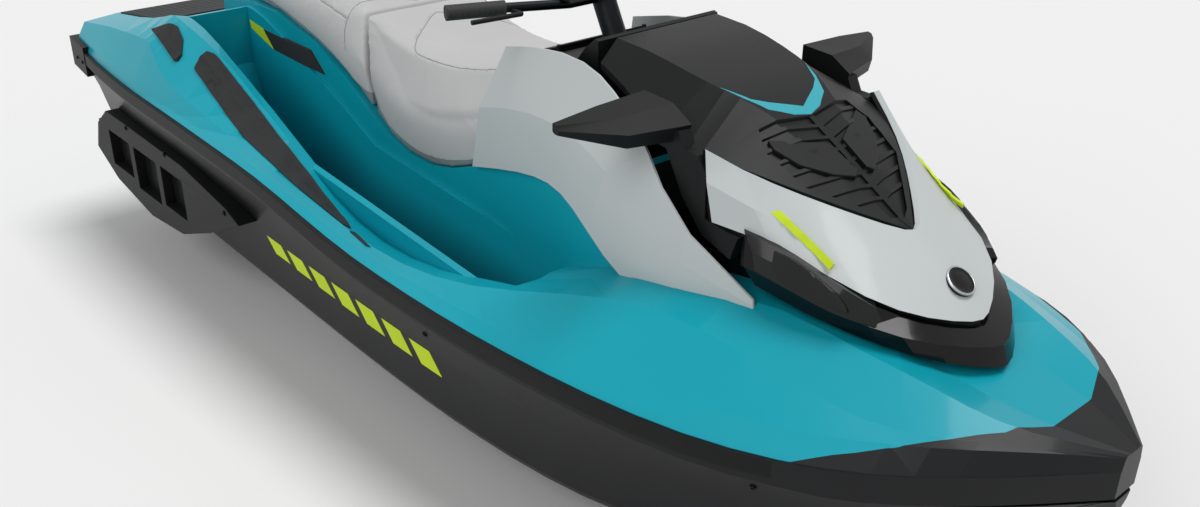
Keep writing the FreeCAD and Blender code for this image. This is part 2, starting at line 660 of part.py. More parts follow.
nose_wall = size("nose_wall")
nose_shift = (-nose_wall, -nose_wall, -nose_wall / 2)
nose_panel = panel_between([nose_lower_shares, nose_middle_shares, nose_upper_shares],
                           nose_shift, around=True).cut(hood_top)
nose_panel = max(nose_panel.Solids, key=lambda solid: solid.Volume)
keep("nose_panel", nose_panel)
fascia = panel_between([jaw_lower_shares, jaw_middle_shares, jaw_upper_shares],
                       (-nose_wall, -nose_wall, 0), around=True)
keep("front_fascia", fascia)

# Liner: the inner skin that the outer hood panels are fixed to
liner_back = (-nose_wall - GAP, -nose_wall, -nose_wall / 2 - GAP)
liner = panel_between([jaw_middle_shares, jaw_upper_shares, nose_lower_shares, nose_middle_shares,
                       nose_upper_shares],
                      (-nose_wall, -nose_wall / 4, -nose_wall / 2), back=liner_back, around=True)
liner = liner.cut(hood_top).cut(fascia).cut(nose_panel)
keep("hood_liner", max(liner.Solids, key=lambda solid: solid.Volume))

# Lamps: dark lenses between the nose panel and the fascia
lamp_high_shares = [(0.796, 0.430, 0.706), (0.812, 0.409, 0.702), (0.838, 0.372, 0.676),
                    (0.860, 0.340, 0.652), (0.872, 0.300, 0.634)]
lamp_middle_shares = [(0.804, 0.438, 0.680), (0.822, 0.418, 0.672), (0.846, 0.384, 0.648),
                      (0.864, 0.348, 0.630), (0.876, 0.302, 0.618)]
lamp_low_shares = [(0.806, 0.434, 0.648), (0.824, 0.418, 0.638), (0.846, 0.388, 0.620),
                   (0.862, 0.358, 0.611), (0.874, 0.312, 0.604)]
lamp = panel_between([lamp_low_shares, lamp_middle_shares, lamp_high_shares],
                     (-2 * nose_wall, -2 * nose_wall, 0))
lamp = lamp.cut(nose_panel).cut(fascia).cut(liner).cut(hood_top)
lamp = max(lamp.Solids, key=lambda solid: solid.Volume)
keep("lamps", Part.Compound([lamp, mirrored(lamp)]))

# Black side bands of the hood, behind the nose panel, that carry the mirror arms
band_side_shares = [(0.730, 0.808), (0.747, 0.722), (0.764, 0.668), (0.787, 0.647),
                    (0.792, 0.690), (0.766, 0.700), (0.765, 0.780), (0.758, 0.806)]
band_inside_share = 0.385
band_wide_share = 0.050
band_inside = band_inside_share * BEAM
band_wide = band_wide_share * BEAM
side_band = prism([(at(x), band_inside, z * HIGH) for x, z in band_side_shares],
                  (0, band_wide, 0))
side_band = side_band.cut(hood_top).cut(liner).cut(nose_panel).cut(fascia).cut(lamp)
side_band = max(side_band.Solids, key=lambda solid: solid.Volume)
keep("hood_side_bands", Part.Compound([side_band, mirrored(side_band)]))

# Side panels: white shells standing on the deck beside the steering
panel_wall = size("panel_wall")
side_panel = panel_between([panel_lower_shares, panel_middle_shares, panel_top_shares],
                           (0, -panel_wall, 0)).cut(deck)
side_panel = max(side_panel.Solids, key=lambda solid: solid.Volume)
keep("side_panel_port", side_panel)
keep("side_panel_starboard", mirrored(side_panel))

# Console: the moulding between the side panels with the glovebox and the instrument hood
console_side_shares = [(0.555, 0.500), (0.555, 0.790), (0.562, 0.812), (0.590, 0.842),
                       (0.618, 0.850), (0.628, 0.885), (0.6375, 0.908), (0.6405, 0.905),
                       (0.6405, 0.500)]
console_wide_share = 0.290
console_half = console_wide_share * BEAM
console = prism([(at(x), -console_half, z * HIGH) for x, z in console_side_shares],
                (0, 2 * console_half, 0)).cut(deck)
box_rear_share = 0.559
box_front_share = 0.585
box_wide_share = 0.19
box_floor_share = 0.72
box_half = box_wide_share * BEAM
box_space = block(at(box_rear_share), at(box_front_share), -box_half, box_half,
                  box_floor_share * HIGH, HIGH)
console = console.cut(box_space)

# Hood arms: low enough in front that the opened hood's lower edge passes over them
console_front = at(console_side_shares[-1][0])
arm_in = ear_out + GAP
arm_half = hinge_pin + pin_wall
arm_foot = hinge_z - size("arm_drop")
hood_arm = block(hinge_x - arm_half, hinge_x + arm_half, arm_in, arm_out, arm_foot, hinge_z)
hood_arm = hood_arm.fuse(bar_with_flats((hinge_x, arm_in, hinge_z), (hinge_x, arm_out, hinge_z), arm_half))
hood_arm = hood_arm.fuse(block(console_front - GAP, hinge_x + arm_half, arm_in, arm_out, arm_foot,
                               arm_foot + 2 * arm_half))
hinge_hole = hinge_pin + slide_fit
hood_arm = hood_arm.cut(rod((hinge_x, 0, hinge_z), (hinge_x, BEAM, hinge_z), hinge_hole))

# Glovebox lid, hinged at its front edge on two lugs of the console
lid_shares = [(0.5560, 0.7960), (0.5620, 0.8120), (0.5835, 0.8355), (0.5835, 0.8475),
              (0.5600, 0.8240), (0.5540, 0.8080)]
lid_wide_share = 0.205
lid_half = lid_wide_share * BEAM
lid_lift = 2 * GAP
lid_pin_x = at(lid_shares[3][0])
lid_pin_z = lid_shares[3][1] * HIGH + lid_lift
lid_pin = size("lid_pin")
lug_out = lid_half + 3 * lid_pin
lid = prism([(at(x), -lid_half, z * HIGH + lid_lift) for x, z in lid_shares], (0, 2 * lid_half, 0))
lid = lid.fuse(rod((lid_pin_x, -lug_out, lid_pin_z), (lid_pin_x, lug_out, lid_pin_z), lid_pin))
keep("glovebox_lid", lid)
lug_half = lid_pin + pin_wall
lid_lug = block(lid_pin_x - lug_half, lid_pin_x + lug_half, lid_half + GAP, lug_out,
                box_floor_share * HIGH, lid_pin_z + lug_half)
lid_lug = lid_lug.cut(rod((lid_pin_x, 0, lid_pin_z), (lid_pin_x, BEAM, lid_pin_z), lid_pin + slide_fit))
console = joined([console, hood_arm, mirrored(hood_arm), lid_lug, mirrored(lid_lug)])
keep("console", max(console.Solids, key=lambda solid: solid.Volume))

gauge_shares = [(0.6185, 0.852), (0.6275, 0.886), (0.6295, 0.878), (0.6215, 0.850)]
gauge_wide_share = 0.105
gauge_half = gauge_wide_share * BEAM
gauge_proud = 4 * GAP
gauge = prism([(at(x) - gauge_proud, -gauge_half, z * HIGH) for x, z in gauge_shares],
              (0, 2 * gauge_half, 0)).cut(console)
keep("gauge", max(gauge.Solids, key=lambda solid: solid.Volume))

# Steering: column, bar, grips and levers turn together about the leaning column
lean = math.radians(size("steer_tilt"))
column_foot = Vector(at(steer_share), 0, steer_high_share * HIGH)
column_way = Vector(-math.sin(lean), 0, math.cos(lean))


bar_radius = size("bar_radius")
column_radius = size("column_radius")
collar_radius = column_radius + bar_radius / 2
collar_long = 2 * bar_radius
column_drop_share = 0.065
column_drop = column_drop_share * HIGH
bar_centre = column_foot + column_way * 2 * bar_radius
collar_top = column_foot - column_way * column_drop
collar = rod(collar_top - column_way * collar_long, collar_top, collar_radius)
keep("steering_collar", collar.cut(console))
stem = bar_with_flats(column_foot - column_way * (column_drop - GAP), bar_centre, column_radius, 24)
bar_half = size("bar_half")
grip_in = bar_half - size("grip_long")
bar_x = bar_centre.x
bar_z = bar_centre.z
sweep_back = size("sweep_back")
grip_rise = bar_radius / 2
bend_share = 0.4
grip_start = (bar_x - sweep_back / 2, grip_in, bar_z + grip_rise)
grip_end = (bar_x - sweep_back, bar_half, bar_z + grip_rise)
bend = (bar_x, bend_share * grip_in, bar_z)


def tube_through(places, radius):
    """A bent tube: straight runs with mitred corners between the places."""
    path = Part.makePolygon([Vector(*place) for place in places])
    start = Vector(*places[0])
    section = polygon_round(start, Vector(*places[1]) - start, radius, 16).OuterWire
    return path.makePipeShell([section], True, False, 1)


bar = tube_through([(x, -y, z) for x, y, z in (grip_end, grip_start, bend)]
                   + [bend, grip_start, grip_end], bar_radius)
handlebar = joined([stem, bar])
keep("handlebar", handlebar)
grip = bar_with_flats(grip_start, grip_end, size("grip_radius"), 24).cut(bar)
keep("grips", Part.Compound([grip, mirrored(grip)]))
pad_low = bar_z + bar_radius + GAP
pad_half = grip_in / 2
pad_deep = 3 * bar_radius
pad_crown = 2 * bar_radius
pad = skin([[(bar_x - pad_deep, y, pad_low), (bar_x + pad_deep, y, pad_low),
             (bar_x + pad_crown, y, top), (bar_x - pad_crown, y, top)]
            for y, top in ((-pad_half, pad_low + bar_radius), (-pad_half / 2, HIGH),
                           (pad_half / 2, HIGH), (pad_half, pad_low + bar_radius))])
keep("handlebar_pad", pad.cut(handlebar))
lever_in = grip_in - bar_radius
lever_x = grip_start[0] + size("lever_reach")
lever_radius = size("lever_radius")
lever = joined([bar_with_flats((lever_x, lever_in, bar_z),
                               (lever_x - bar_radius, bar_half - bar_radius, bar_z), lever_radius),
                bar_with_flats((lever_x, lever_in, bar_z), (grip_start[0], lever_in, bar_z),
                               lever_radius)])
lever = lever.cut(bar).cut(grip)
lever = max(lever.Solids, key=lambda solid: solid.Volume)
keep("levers", Part.Compound([lever, mirrored(lever)]))

# Mirrors: long wedge housings on arms from the hood's side bands
mirror_rings_shares = [
    [(0.703, 0.380, 0.872), (0.703, 0.372, 0.822), (0.712, 0.385, 0.815), (0.740, 0.392, 0.812),
     (0.744, 0.385, 0.842), (0.728, 0.378, 0.868)],
    [(0.703, 0.590, 0.868), (0.703, 0.590, 0.824), (0.710, 0.590, 0.817), (0.730, 0.590, 0.815),
     (0.732, 0.590, 0.840), (0.722, 0.590, 0.862)],
    [(0.703, 0.762, 0.860), (0.703, 0.762, 0.846), (0.705, 0.762, 0.842), (0.708, 0.762, 0.842),
     (0.708, 0.762, 0.850), (0.706, 0.762, 0.858)]]
mirror = skin([[(at(x), ring_shares[1][1] * BEAM, z * HIGH) for x, y, z in ring_shares]
               for ring_shares in mirror_rings_shares])
mirror_arm_shares = [(0.722, 0.800), (0.750, 0.790), (0.742, 0.835), (0.720, 0.835)]
band_outside = band_inside + band_wide
mirror_arm = prism([(at(x), band_outside, z * HIGH) for x, z in mirror_arm_shares], (0, -band_wide, 0))
mirror = mirror.cut(block(0, LENGTH, 0, band_inside, 0, HIGH))
mirror_port = joined([mirror, mirror_arm]).cut(hood_top).cut(side_band)
mirror_port = max(mirror_port.Solids, key=lambda solid: solid.Volume)
keep("mirror_port", mirror_port)
keep("mirror_starboard", mirrored(mirror_port))

# Seats
front_seat_shares = [
    [(0.378, 0.340, 0.545), (0.420, 0.352, 0.470), (0.453, 0.356, 0.465), (0.500, 0.352, 0.510),
     (0.551, 0.290, 0.580)],
    [(0.372, 0.352, 0.660), (0.415, 0.365, 0.620), (0.455, 0.368, 0.620), (0.505, 0.345, 0.660),
     (0.551, 0.250, 0.700)],
    [(0.358, 0.300, 0.780), (0.410, 0.300, 0.735), (0.455, 0.285, 0.725), (0.505, 0.245, 0.745),
     (0.551, 0.180, 0.790)]]


def cushion(shares, base):
    body = strip_body(with_mirror([line_through(line) for line in shares]), paired_caps(len(shares)))
    body = body.cut(base)
    return max(body.Solids, key=lambda solid: solid.Volume)


seat_front = cushion(front_seat_shares, deck).cut(console).cut(side_panel).cut(mirrored(side_panel))
keep("seat_front", max(seat_front.Solids, key=lambda solid: solid.Volume))

rear_seat_shares = [
    [(0.160, 0.310, 0.700), (0.220, 0.345, 0.700), (0.300, 0.352, 0.680), (0.345, 0.350, 0.620),
     (0.372, 0.340, 0.560)],
    [(0.155, 0.330, 0.770), (0.220, 0.365, 0.775), (0.290, 0.368, 0.770), (0.335, 0.360, 0.720),
     (0.366, 0.350, 0.660)],
    [(0.165, 0.240, 0.830), (0.220, 0.290, 0.835), (0.280, 0.295, 0.830), (0.325, 0.290, 0.810),
     (0.352, 0.290, 0.780)]]
seat_rear = cushion(rear_seat_shares, deck.fuse(seat_front))
keep("seat_rear", seat_rear.translated(Vector(0, 0, GAP)))

# Grab handle behind the passenger
handle_rear_share = 0.122
handle_front_share = 0.150
handle_outer_shares = [(0.300, 0.690), (0.300, 0.745), (0.245, 0.785)]
handle_inner_shares = [(0.225, 0.690), (0.225, 0.728), (0.205, 0.752)]
handle_loop = [(at(handle_rear_share), y * BEAM, z * HIGH) for y, z in handle_outer_shares]
handle_loop += [(x, -y, z) for x, y, z in reversed(handle_loop)]
handle_hole = [(at(handle_rear_share), y * BEAM, z * HIGH) for y, z in handle_inner_shares]
handle_hole += [(x, -y, z) for x, y, z in reversed(handle_hole)]
handle_long = (handle_front_share - handle_rear_share) * LENGTH
handle = prism(handle_loop, (handle_long, 0, 0)).cut(prism(handle_hole, (handle_long, 0, 0)))
keep("grab_handle", handle.cut(deck))

# Jet pump: flanged barrel, outlet cone, stator vanes and two arms for the outlet's pivots
pump_bore = size("pump_bore")
barrel_end = pump_x - size("pump_barrel")
outlet_x = barrel_end - size("pump_taper")
outlet = size("pump_outlet")
pin = size("pin_radius")
shell_out = pump_bore + pump_wall
flange_out = shell_out + size("flange_rim")
cone_corners = 32


def turned(profile):
    """A round body about the pump shaft through (x, radius) pairs, with flat sides."""
    rings = []
    for x, radius in profile:
        angles = [2 * math.pi * corner / cone_corners for corner in range(cone_corners)]
        rings.append([(x, radius * math.sin(angle), axis_z + radius * math.cos(angle))
                      for angle in angles])
    return skin(rings)


def around_shaft(shape, count):
    """Copies of a piece, evenly spaced about the pump shaft."""
    copies = []
    for number in range(count):
        copy = shape.copy()
        copy.rotate(Vector(0, 0, axis_z), Vector(1, 0, 0), 360 * number / count)
        copies.append(copy)
    return copies


barrel = turned([(pump_x, shell_out), (barrel_end, shell_out), (outlet_x, outlet + pump_wall / 2)])
front_flange = turned([(pump_x, flange_out), (pump_x - pump_wall, flange_out)])
rear_flange = turned([(barrel_end + pump_wall, flange_out), (barrel_end, flange_out)])
bore = turned([(pump_x, pump_bore), (barrel_end, pump_bore), (outlet_x, outlet)])
impeller_x = pump_x - 3 * pump_wall
impeller_end = impeller_x - size("impeller_long")
hub_back = size("hub_back")
body_x = impeller_end - GAP
body_core = turned([(body_x, hub_back), (barrel_end, hub_back), (outlet_x + pump_wall, pin)])
vane_count = 6
vane_thick = size("vane_thick")
vane_root = hub_back - pump_wall
vane = prism([(body_x - pump_wall, -vane_thick / 2, axis_z + vane_root),
              (barrel_end + pump_wall, -vane_thick / 2, axis_z + vane_root),
              (barrel_end + pump_wall, -vane_thick / 2, axis_z + pump_bore + pump_wall / 2),
              (body_x - pump_wall, -vane_thick / 2, axis_z + pump_bore + pump_wall / 2)],
             (0, vane_thick, 0))
pivot_x = outlet_x - size("outlet_overhang")
gate_x = pivot_x - size("pivot_step")
arm_inside = size("ring_radius") + 2 * pin + PLAY / 3
arm_thick = 2 * pin
arm_outside = arm_inside + arm_thick
arm_deep = size("arm_deep")
arm_end = gate_x - 2 * pin
pivot_fit = pin + slide_fit
gate_pin = size("gate_pin")
ring_hole = rod((pivot_x, 0, axis_z), (pivot_x, BEAM, axis_z), pivot_fit)
arm = block(arm_end, barrel_end + pump_wall, arm_inside, arm_outside, axis_z - arm_deep / 2,
            axis_z + arm_deep / 2).cut(ring_hole)
arm = arm.fuse(rod((gate_x, arm_inside, axis_z), (gate_x, arm_outside + 4 * pin, axis_z), gate_pin))
shell = joined([barrel, front_flange, rear_flange, arm, mirrored(arm)]).cut(bore)
pump = joined([shell, body_core] + around_shaft(vane, vane_count))
keep("jet_pump", pump)

# Impeller: a conical hub with pitched blades that overlap like a fan
hub_front = size("hub_front")
hub_end = impeller_end + GAP
impeller_hub = turned([(impeller_x, hub_front), (hub_end, hub_back)])
tip = pump_bore - size("tip_gap")
blade_count = 4
blade_turn = 70
blade_steps = 6
blade_root_share = 0.7


def blade_ring(step):
    """The blade's section across its length: thick at the hub, half as thick at the tip."""
    part = step / (blade_steps - 1)
    x = impeller_x - pump_wall / 2 - part * (size("impeller_long") - pump_wall)
    root = blade_root_share * (hub_front + part * (hub_back - hub_front))
    angle = math.radians(blade_turn * part)
    out = Vector(0, math.sin(angle), math.cos(angle))
    across = Vector(0, math.cos(angle), -math.sin(angle)) * size("blade_thick")
    centre = Vector(x, 0, axis_z)
    return [centre + out * root - across, centre + out * tip - across / 2,
            centre + out * tip + across / 2, centre + out * root + across]


blade = skin([blade_ring(step) for step in range(blade_steps)])
tip_space = turned([(impeller_x, tip), (impeller_end, tip)])
blades = [copy.common(tip_space) for copy in around_shaft(blade, blade_count)]
keep("impeller", joined([impeller_hub] + blades))

# Drive shaft: from the engine block to the impeller
shaft = doc.addObject("Part::Cylinder", "drive_shaft")
shaft.Label = "drive_shaft"
shaft.Placement.Rotation = FreeCAD.Rotation(Vector(0, 1, 0), 90)
shaft.setExpression("Radius", "Sizes.shaft_radius")
shaft.setExpression("Height", "Sizes.length * %s - Sizes.engine_length - 2 * Sizes.seat_gap"
                    " - Sizes.length * %s + 3 * Sizes.pump_wall" % (engine_front_share, pump_front_share))
shaft.setExpression("Placement.Base.x", "Sizes.length * %s - Sizes.stern_reach - 3 * Sizes.pump_wall"
                    " + Sizes.seat_gap" % pump_front_share)
shaft.setExpression("Placement.Base.z", "Sizes.height * %s - Sizes.water_height" % pump_axis_share)
nodes.append(shaft)

# Trim ring, steering nozzle and reverse gate
ring_out = size("ring_radius")
ring_in = ring_out - size("ring_wall")
ring_x = pivot_x + size("ring_long") / 2
ring_end = pivot_x - size("ring_long") / 2
trim_ring = turned([(ring_x, ring_out), (ring_end, ring_out)])
ring_pins = [rod((pivot_x, side * (ring_in + GAP), axis_z),
                 (pivot_x, side * (arm_outside - GAP), axis_z), pin) for side in (-1, 1)]
steer_pivot = ring_end - 3 * pin
nozzle_out = size("nozzle_radius")
ear_low = nozzle_out + pin
ears = [block(steer_pivot - 2 * pin, ring_x, -2 * pin, 2 * pin, axis_z + low, axis_z + low + pin)
        for low in (ear_low, -ear_low - pin)]
inside = turned([(ring_x, ring_in), (ring_end, ring_in)])
trim_ring = joined([trim_ring] + ring_pins + ears).cut(inside)
trim_ring = trim_ring.cut(rod((steer_pivot, 0, axis_z - 2 * ring_out),
                              (steer_pivot, 0, axis_z + 2 * ring_out), pivot_fit))
keep("trim_ring", trim_ring)

nozzle_wall = size("nozzle_wall")
nozzle_x = ring_end - PLAY
nozzle_end = nozzle_x - size("nozzle_long")
jet_radius = size("jet_radius")
nozzle = turned([(nozzle_x, nozzle_out), (nozzle_end, jet_radius + nozzle_wall)])
nozzle = nozzle.cut(turned([(nozzle_x, nozzle_out - nozzle_wall), (nozzle_end, jet_radius)]))
nozzle_pins = [rod((steer_pivot, 0, axis_z + side * (nozzle_out - nozzle_wall)),
                   (steer_pivot, 0, axis_z + side * (ear_low + pin)), pin) for side in (-1, 1)]
keep("steering_nozzle", joined([nozzle] + nozzle_pins))

gate_wall = size("gate_wall")
gate_in = size("gate_reach")
gate_out = gate_in + gate_wall
cheek_in = arm_outside + PLAY
gate_low = 42
gate_high = 112
cheek_low = gate_low - 40
cheek_high = gate_high + 40


def gate_point(radius, degrees):
    angle = math.radians(degrees)
    return (gate_x - radius * math.cos(angle), -cheek_in - gate_wall, axis_z + radius * math.sin(angle))


arc_steps = 8
angles = [gate_low + (gate_high - gate_low) * step / arc_steps for step in range(arc_steps + 1)]
outer_arc = [gate_point(gate_out, angle) for angle in angles]
inner_arc = [gate_point(gate_in, angle) for angle in reversed(angles)]
bucket = prism(outer_arc + inner_arc, (0, 2 * (cheek_in + gate_wall), 0))
cheek_hub = [gate_point(3 * pin, cheek_high), gate_point(3 * pin, 180 + (gate_low + gate_high) / 2),
             gate_point(3 * pin, cheek_low)]
cheek = prism(outer_arc + cheek_hub, (0, gate_wall, 0))
gate = joined([bucket, cheek, mirrored(cheek)])
gate = gate.cut(rod((gate_x, -BEAM, axis_z), (gate_x, BEAM, axis_z), gate_pin + slide_fit))
keep("reverse_gate", gate)

# Ride plate: a shallow vee that closes the pump tunnel from below
plate_thick = size("plate_thick")
vee_share = strake_shares[0][1] / strake_shares[0][0]
vee = vee_share * HIGH / BEAM
plate_half = tunnel_half - GAP
plate_rise = vee * plate_half
plate_body = doc.addObject("PartDesign::Body", "ride_plate")
plate_body.Label = "ride_plate"
plate_outline = [(-plate_half, plate_rise), (0, 0), (plate_half, plate_rise),
                 (plate_half, plate_rise + plate_thick), (0, plate_thick),
                 (-plate_half, plate_rise + plate_thick)]
plate_sketch = sketch_on(plate_body, "ride_plate_section", "YZ_Plane", plate_outline)
plate_sketch.AttachmentOffset = FreeCAD.Placement(Vector(0, 0, outlet_x), FreeCAD.Rotation())
plate_pad = plate_body.newObject("PartDesign::Pad", "ride_plate_pad")
plate_pad.Profile = plate_sketch
plate_pad.setExpression("Length", "Sizes.pump_barrel + Sizes.pump_taper + Sizes.pump_wall"
                        " - Sizes.seat_gap")
plate_body.Tip = plate_pad
lower(plate_body)

# Intake grate in front of the ride plate
bar_count = 4
grate_front = at(0.309)
grate_rear = at(0.207)
grate_half = duct_half - GAP
grate_low = plate_thick
grate_rise = vee * grate_half


def grate_frame(x_low, x_high):
    outline = [(x_low, -grate_half, grate_rise + grate_low), (x_low, 0, grate_low),
               (x_low, grate_half, grate_rise + grate_low), (x_low, grate_half, grate_rise + 2 * grate_low),
               (x_low, 0, 2 * grate_low), (x_low, -grate_half, grate_rise + 2 * grate_low)]
    return prism(outline, (x_high - x_low, 0, 0))


grate = [grate_frame(grate_rear, grate_rear + 2 * plate_thick),
         grate_frame(grate_front - 2 * plate_thick, grate_front)]
grate_bar = size("grate_bar")
for number in range(bar_count):
    y = grate_half * (2 * (number + 0.5) / bar_count - 1)
    middle = vee * abs(y) + grate_low + plate_thick / 2
    grate.append(block(grate_rear, grate_front, y - grate_bar, y + grate_bar, middle - grate_bar,
                       middle + grate_bar))
keep("intake_grate", joined(grate))

# Sponsons: boat shaped side fins with open pockets on the hull sides
sponson_shares = [(0.042, 0.262), (0.085, 0.200), (0.160, 0.163), (0.230, 0.182), (0.290, 0.250),
                  (0.352, 0.335), (0.330, 0.358), (0.250, 0.392), (0.120, 0.400), (0.082, 0.400),
                  (0.055, 0.345)]
pocket_shares = [(0.082, 0.245, 0.130, 0.345), (0.140, 0.225, 0.190, 0.345),
                 (0.200, 0.235, 0.245, 0.345)]
sponson_out_share = 0.975
sponson_in_share = 0.80
pocket_deep_share = 0.055
sponson_body = doc.addObject("PartDesign::Body", "sponson_form")
sponson_outline = [(at(x), z * HIGH) for x, z in sponson_shares]
sponson_sketch = sketch_on(sponson_body, "sponson_outline", "XZ_Plane", sponson_outline)
sponson_sketch.AttachmentOffset = FreeCAD.Placement(Vector(0, 0, -sponson_in_share * BEAM),
                                                    FreeCAD.Rotation())
sponson_pad = sponson_body.newObject("PartDesign::Pad", "sponson_pad")
sponson_pad.Profile = sponson_sketch
sponson_pad.Reversed = True
sponson_pad.setExpression("Length", "Sizes.half_beam * %s" % (sponson_out_share - sponson_in_share))
sponson_body.Tip = sponson_pad
doc.recompute()
for number, (x_low, z_low, x_high, z_high) in enumerate(pocket_shares):
    corners = [(at(x_low), z_low * HIGH), (at(x_high), z_low * HIGH), (at(x_high), z_high * HIGH),
               (at(x_low), z_high * HIGH)]
    pocket_sketch = sketch_on(sponson_body, "pocket_outline_%d" % number, "XZ_Plane", corners)
    pocket_sketch.AttachmentOffset = FreeCAD.Placement(Vector(0, 0, -sponson_out_share * BEAM),
                                                       FreeCAD.Rotation())
    pocket = sponson_body.newObject("PartDesign::Pocket", "sponson_pocket_%d" % number)
    pocket.Profile = pocket_sketch
    pocket.Reversed = True
    pocket.setExpression("Length", "Sizes.half_beam * %s" % pocket_deep_share)
    sponson_body.Tip = pocket
    doc.recompute()
sponson = sponson_body.Shape.cut(hull_outer)
sponson = max(sponson.Solids, key=lambda solid: solid.Volume)
keep("sponson_port", sponson)
keep("sponson_starboard", mirrored(sponson))

# Boarding ladder: a step bar on two arms, folded up against the stern, in two brackets
ladder_tube = size("ladder_tube")
ladder_half = size("ladder_width") / 2
stern_face = at(station_shares[0])
ladder_x = stern_face - ladder_tube - PLAY
ladder_low_share = 0.400
step_high_share = 0.575
ladder_z = ladder_low_share * HIGH
step_z = step_high_share * HIGH
hinge_radius = size("ladder_pin")
bracket_in = ladder_half + ladder_tube + PLAY / 5
hinge_half = bracket_in + ladder_tube
ladder = joined([rod((ladder_x, -hinge_half, ladder_z), (ladder_x, hinge_half, ladder_z), hinge_radius),
                 bar_with_flats((ladder_x, -ladder_half, ladder_z), (ladder_x, -ladder_half, step_z),
                                ladder_tube),
                 bar_with_flats((ladder_x, ladder_half, ladder_z), (ladder_x, ladder_half, step_z),
                                ladder_tube),
                 block(ladder_x - ladder_tube, ladder_x + ladder_tube, -ladder_half - ladder_tube,
                       ladder_half + ladder_tube, step_z - ladder_tube, step_z + ladder_tube)])
keep("boarding_ladder", ladder)
bracket_half = 2 * hinge_radius - PLAY / 2
bracket = block(ladder_x - bracket_half, stern_face - GAP, bracket_in, hinge_half,
                ladder_z - bracket_half, ladder_z + bracket_half)
bracket = bracket.cut(rod((ladder_x, 0, ladder_z), (ladder_x, BEAM, ladder_z), hinge_radius + slide_fit))
keep("ladder_brackets", Part.Compound([bracket, mirrored(bracket)]))

# Foam mats
mat_thick = size("mat_thick")
mat_rear_share = 0.020
mat_front_share = 0.112
mat_wide_share = 0.70
mat_space = block(at(mat_rear_share), at(mat_front_share), -mat_wide_share * BEAM, mat_wide_share * BEAM,
                  HIGH / 2, HIGH)
mat = mat_space.common(deck_outer.translated(Vector(0, 0, mat_thick))).cut(deck)
keep("stern_mat", max(mat.Solids, key=lambda solid: solid.Volume))
well_mat = block(rear + run + PLAY, front - run - PLAY, well_in + PLAY, well_out - PLAY, floor + GAP,
                 floor + mat_thick).cut(deck)
well_mat = max(well_mat.Solids, key=lambda solid: solid.Volume)
keep("footwell_mats", Part.Compound([well_mat, mirrored(well_mat)]))

# Bow eye: a lug under the bow with a hole for a winch hook
eye_radius = size("eye_radius")
eye_wire = size("eye_wire")
stem_low, stem_high = [Vector(*place) for place in keel_line[-3:-1]]
stem_share = 0.85
stem_way = stem_high - stem_low
stem_out = Vector(stem_way.z, 0, -stem_way.x).normalize()
eye_centre = stem_low + stem_way * stem_share + stem_out * (eye_radius + eye_wire / 2)
eye_x = eye_centre.x
eye_z = eye_centre.z
print("bow eye at", round(eye_x, 3), round(eye_z, 3))
eye_out = eye_radius + eye_wire
eye_lug = bar_with_flats((eye_x, -eye_wire, eye_z), (eye_x, eye_wire, eye_z), eye_out, 24)
eye_lug = joined([eye_lug, block(eye_x - 2 * eye_out, eye_x, -eye_wire, eye_wire, eye_z,
                                 eye_z + eye_out)])
eye_lug = eye_lug.cut(hull).cut(bow_cap)
eye_lug = eye_lug.cut(rod((eye_x, -BEAM, eye_z), (eye_x, BEAM, eye_z), eye_radius))
keep("bow_eye", max(eye_lug.Solids, key=lambda solid: solid.Volume))

doc.recompute()
faults = [thing.Name for thing in doc.Objects if "Invalid" in thing.State or "Error" in thing.State]
faults += [thing.Name for thing in nodes if thing.Shape.isNull() or not thing.Shape.isValid()]
if faults:
    raise RuntimeError("faulty pieces: " + ", ".join(faults))
os.makedirs("parts", exist_ok=True)
for thing in nodes:
    thing.Shape.exportStep(os.path.join("parts", thing.Label + ".step"))
    print(thing.Label, round(thing.Shape.Volume / 1e6, 2), "litres", len(thing.Shape.Solids), "solids")
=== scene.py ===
# %% [markdown]
# # A three-seat personal watercraft, dressed for its photograph
#
# The construction arrives as a fixed frame: every rigid moulding already has its real size and
# place. This lesson gives each moulding its finish, adds the soft saddle, the lamps, trims,
# stitching and fasteners, and sets the light and the camera.

# %% The frame
import bmesh
import bpy
import math
from mathutils import Matrix, Vector
from mathutils.bvhtree import BVHTree
from mathutils.kdtree import KDTree


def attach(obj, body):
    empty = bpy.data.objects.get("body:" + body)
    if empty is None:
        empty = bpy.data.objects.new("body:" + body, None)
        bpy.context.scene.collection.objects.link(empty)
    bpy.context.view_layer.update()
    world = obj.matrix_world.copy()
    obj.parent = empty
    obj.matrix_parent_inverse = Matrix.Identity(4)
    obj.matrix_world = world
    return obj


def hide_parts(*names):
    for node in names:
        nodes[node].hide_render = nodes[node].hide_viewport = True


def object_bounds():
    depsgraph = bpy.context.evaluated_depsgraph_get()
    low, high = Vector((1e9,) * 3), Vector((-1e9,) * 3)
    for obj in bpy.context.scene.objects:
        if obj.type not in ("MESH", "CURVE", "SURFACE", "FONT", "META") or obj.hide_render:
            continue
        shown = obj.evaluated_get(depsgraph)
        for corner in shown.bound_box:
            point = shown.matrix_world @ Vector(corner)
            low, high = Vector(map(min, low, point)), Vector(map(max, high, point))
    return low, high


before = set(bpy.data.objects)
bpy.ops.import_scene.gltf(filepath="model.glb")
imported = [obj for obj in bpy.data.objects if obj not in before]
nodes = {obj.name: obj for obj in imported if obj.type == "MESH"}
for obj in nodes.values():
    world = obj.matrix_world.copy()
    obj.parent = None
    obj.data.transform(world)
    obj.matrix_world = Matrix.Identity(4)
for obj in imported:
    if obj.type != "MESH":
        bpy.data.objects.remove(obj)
cad_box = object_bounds()

# %% [markdown]
# ## Colours
#
# A paint maker gives colours as sRGB hex values, while the renderer works in linear light. One
# function turns one into the other, so that the hex values below stay readable.


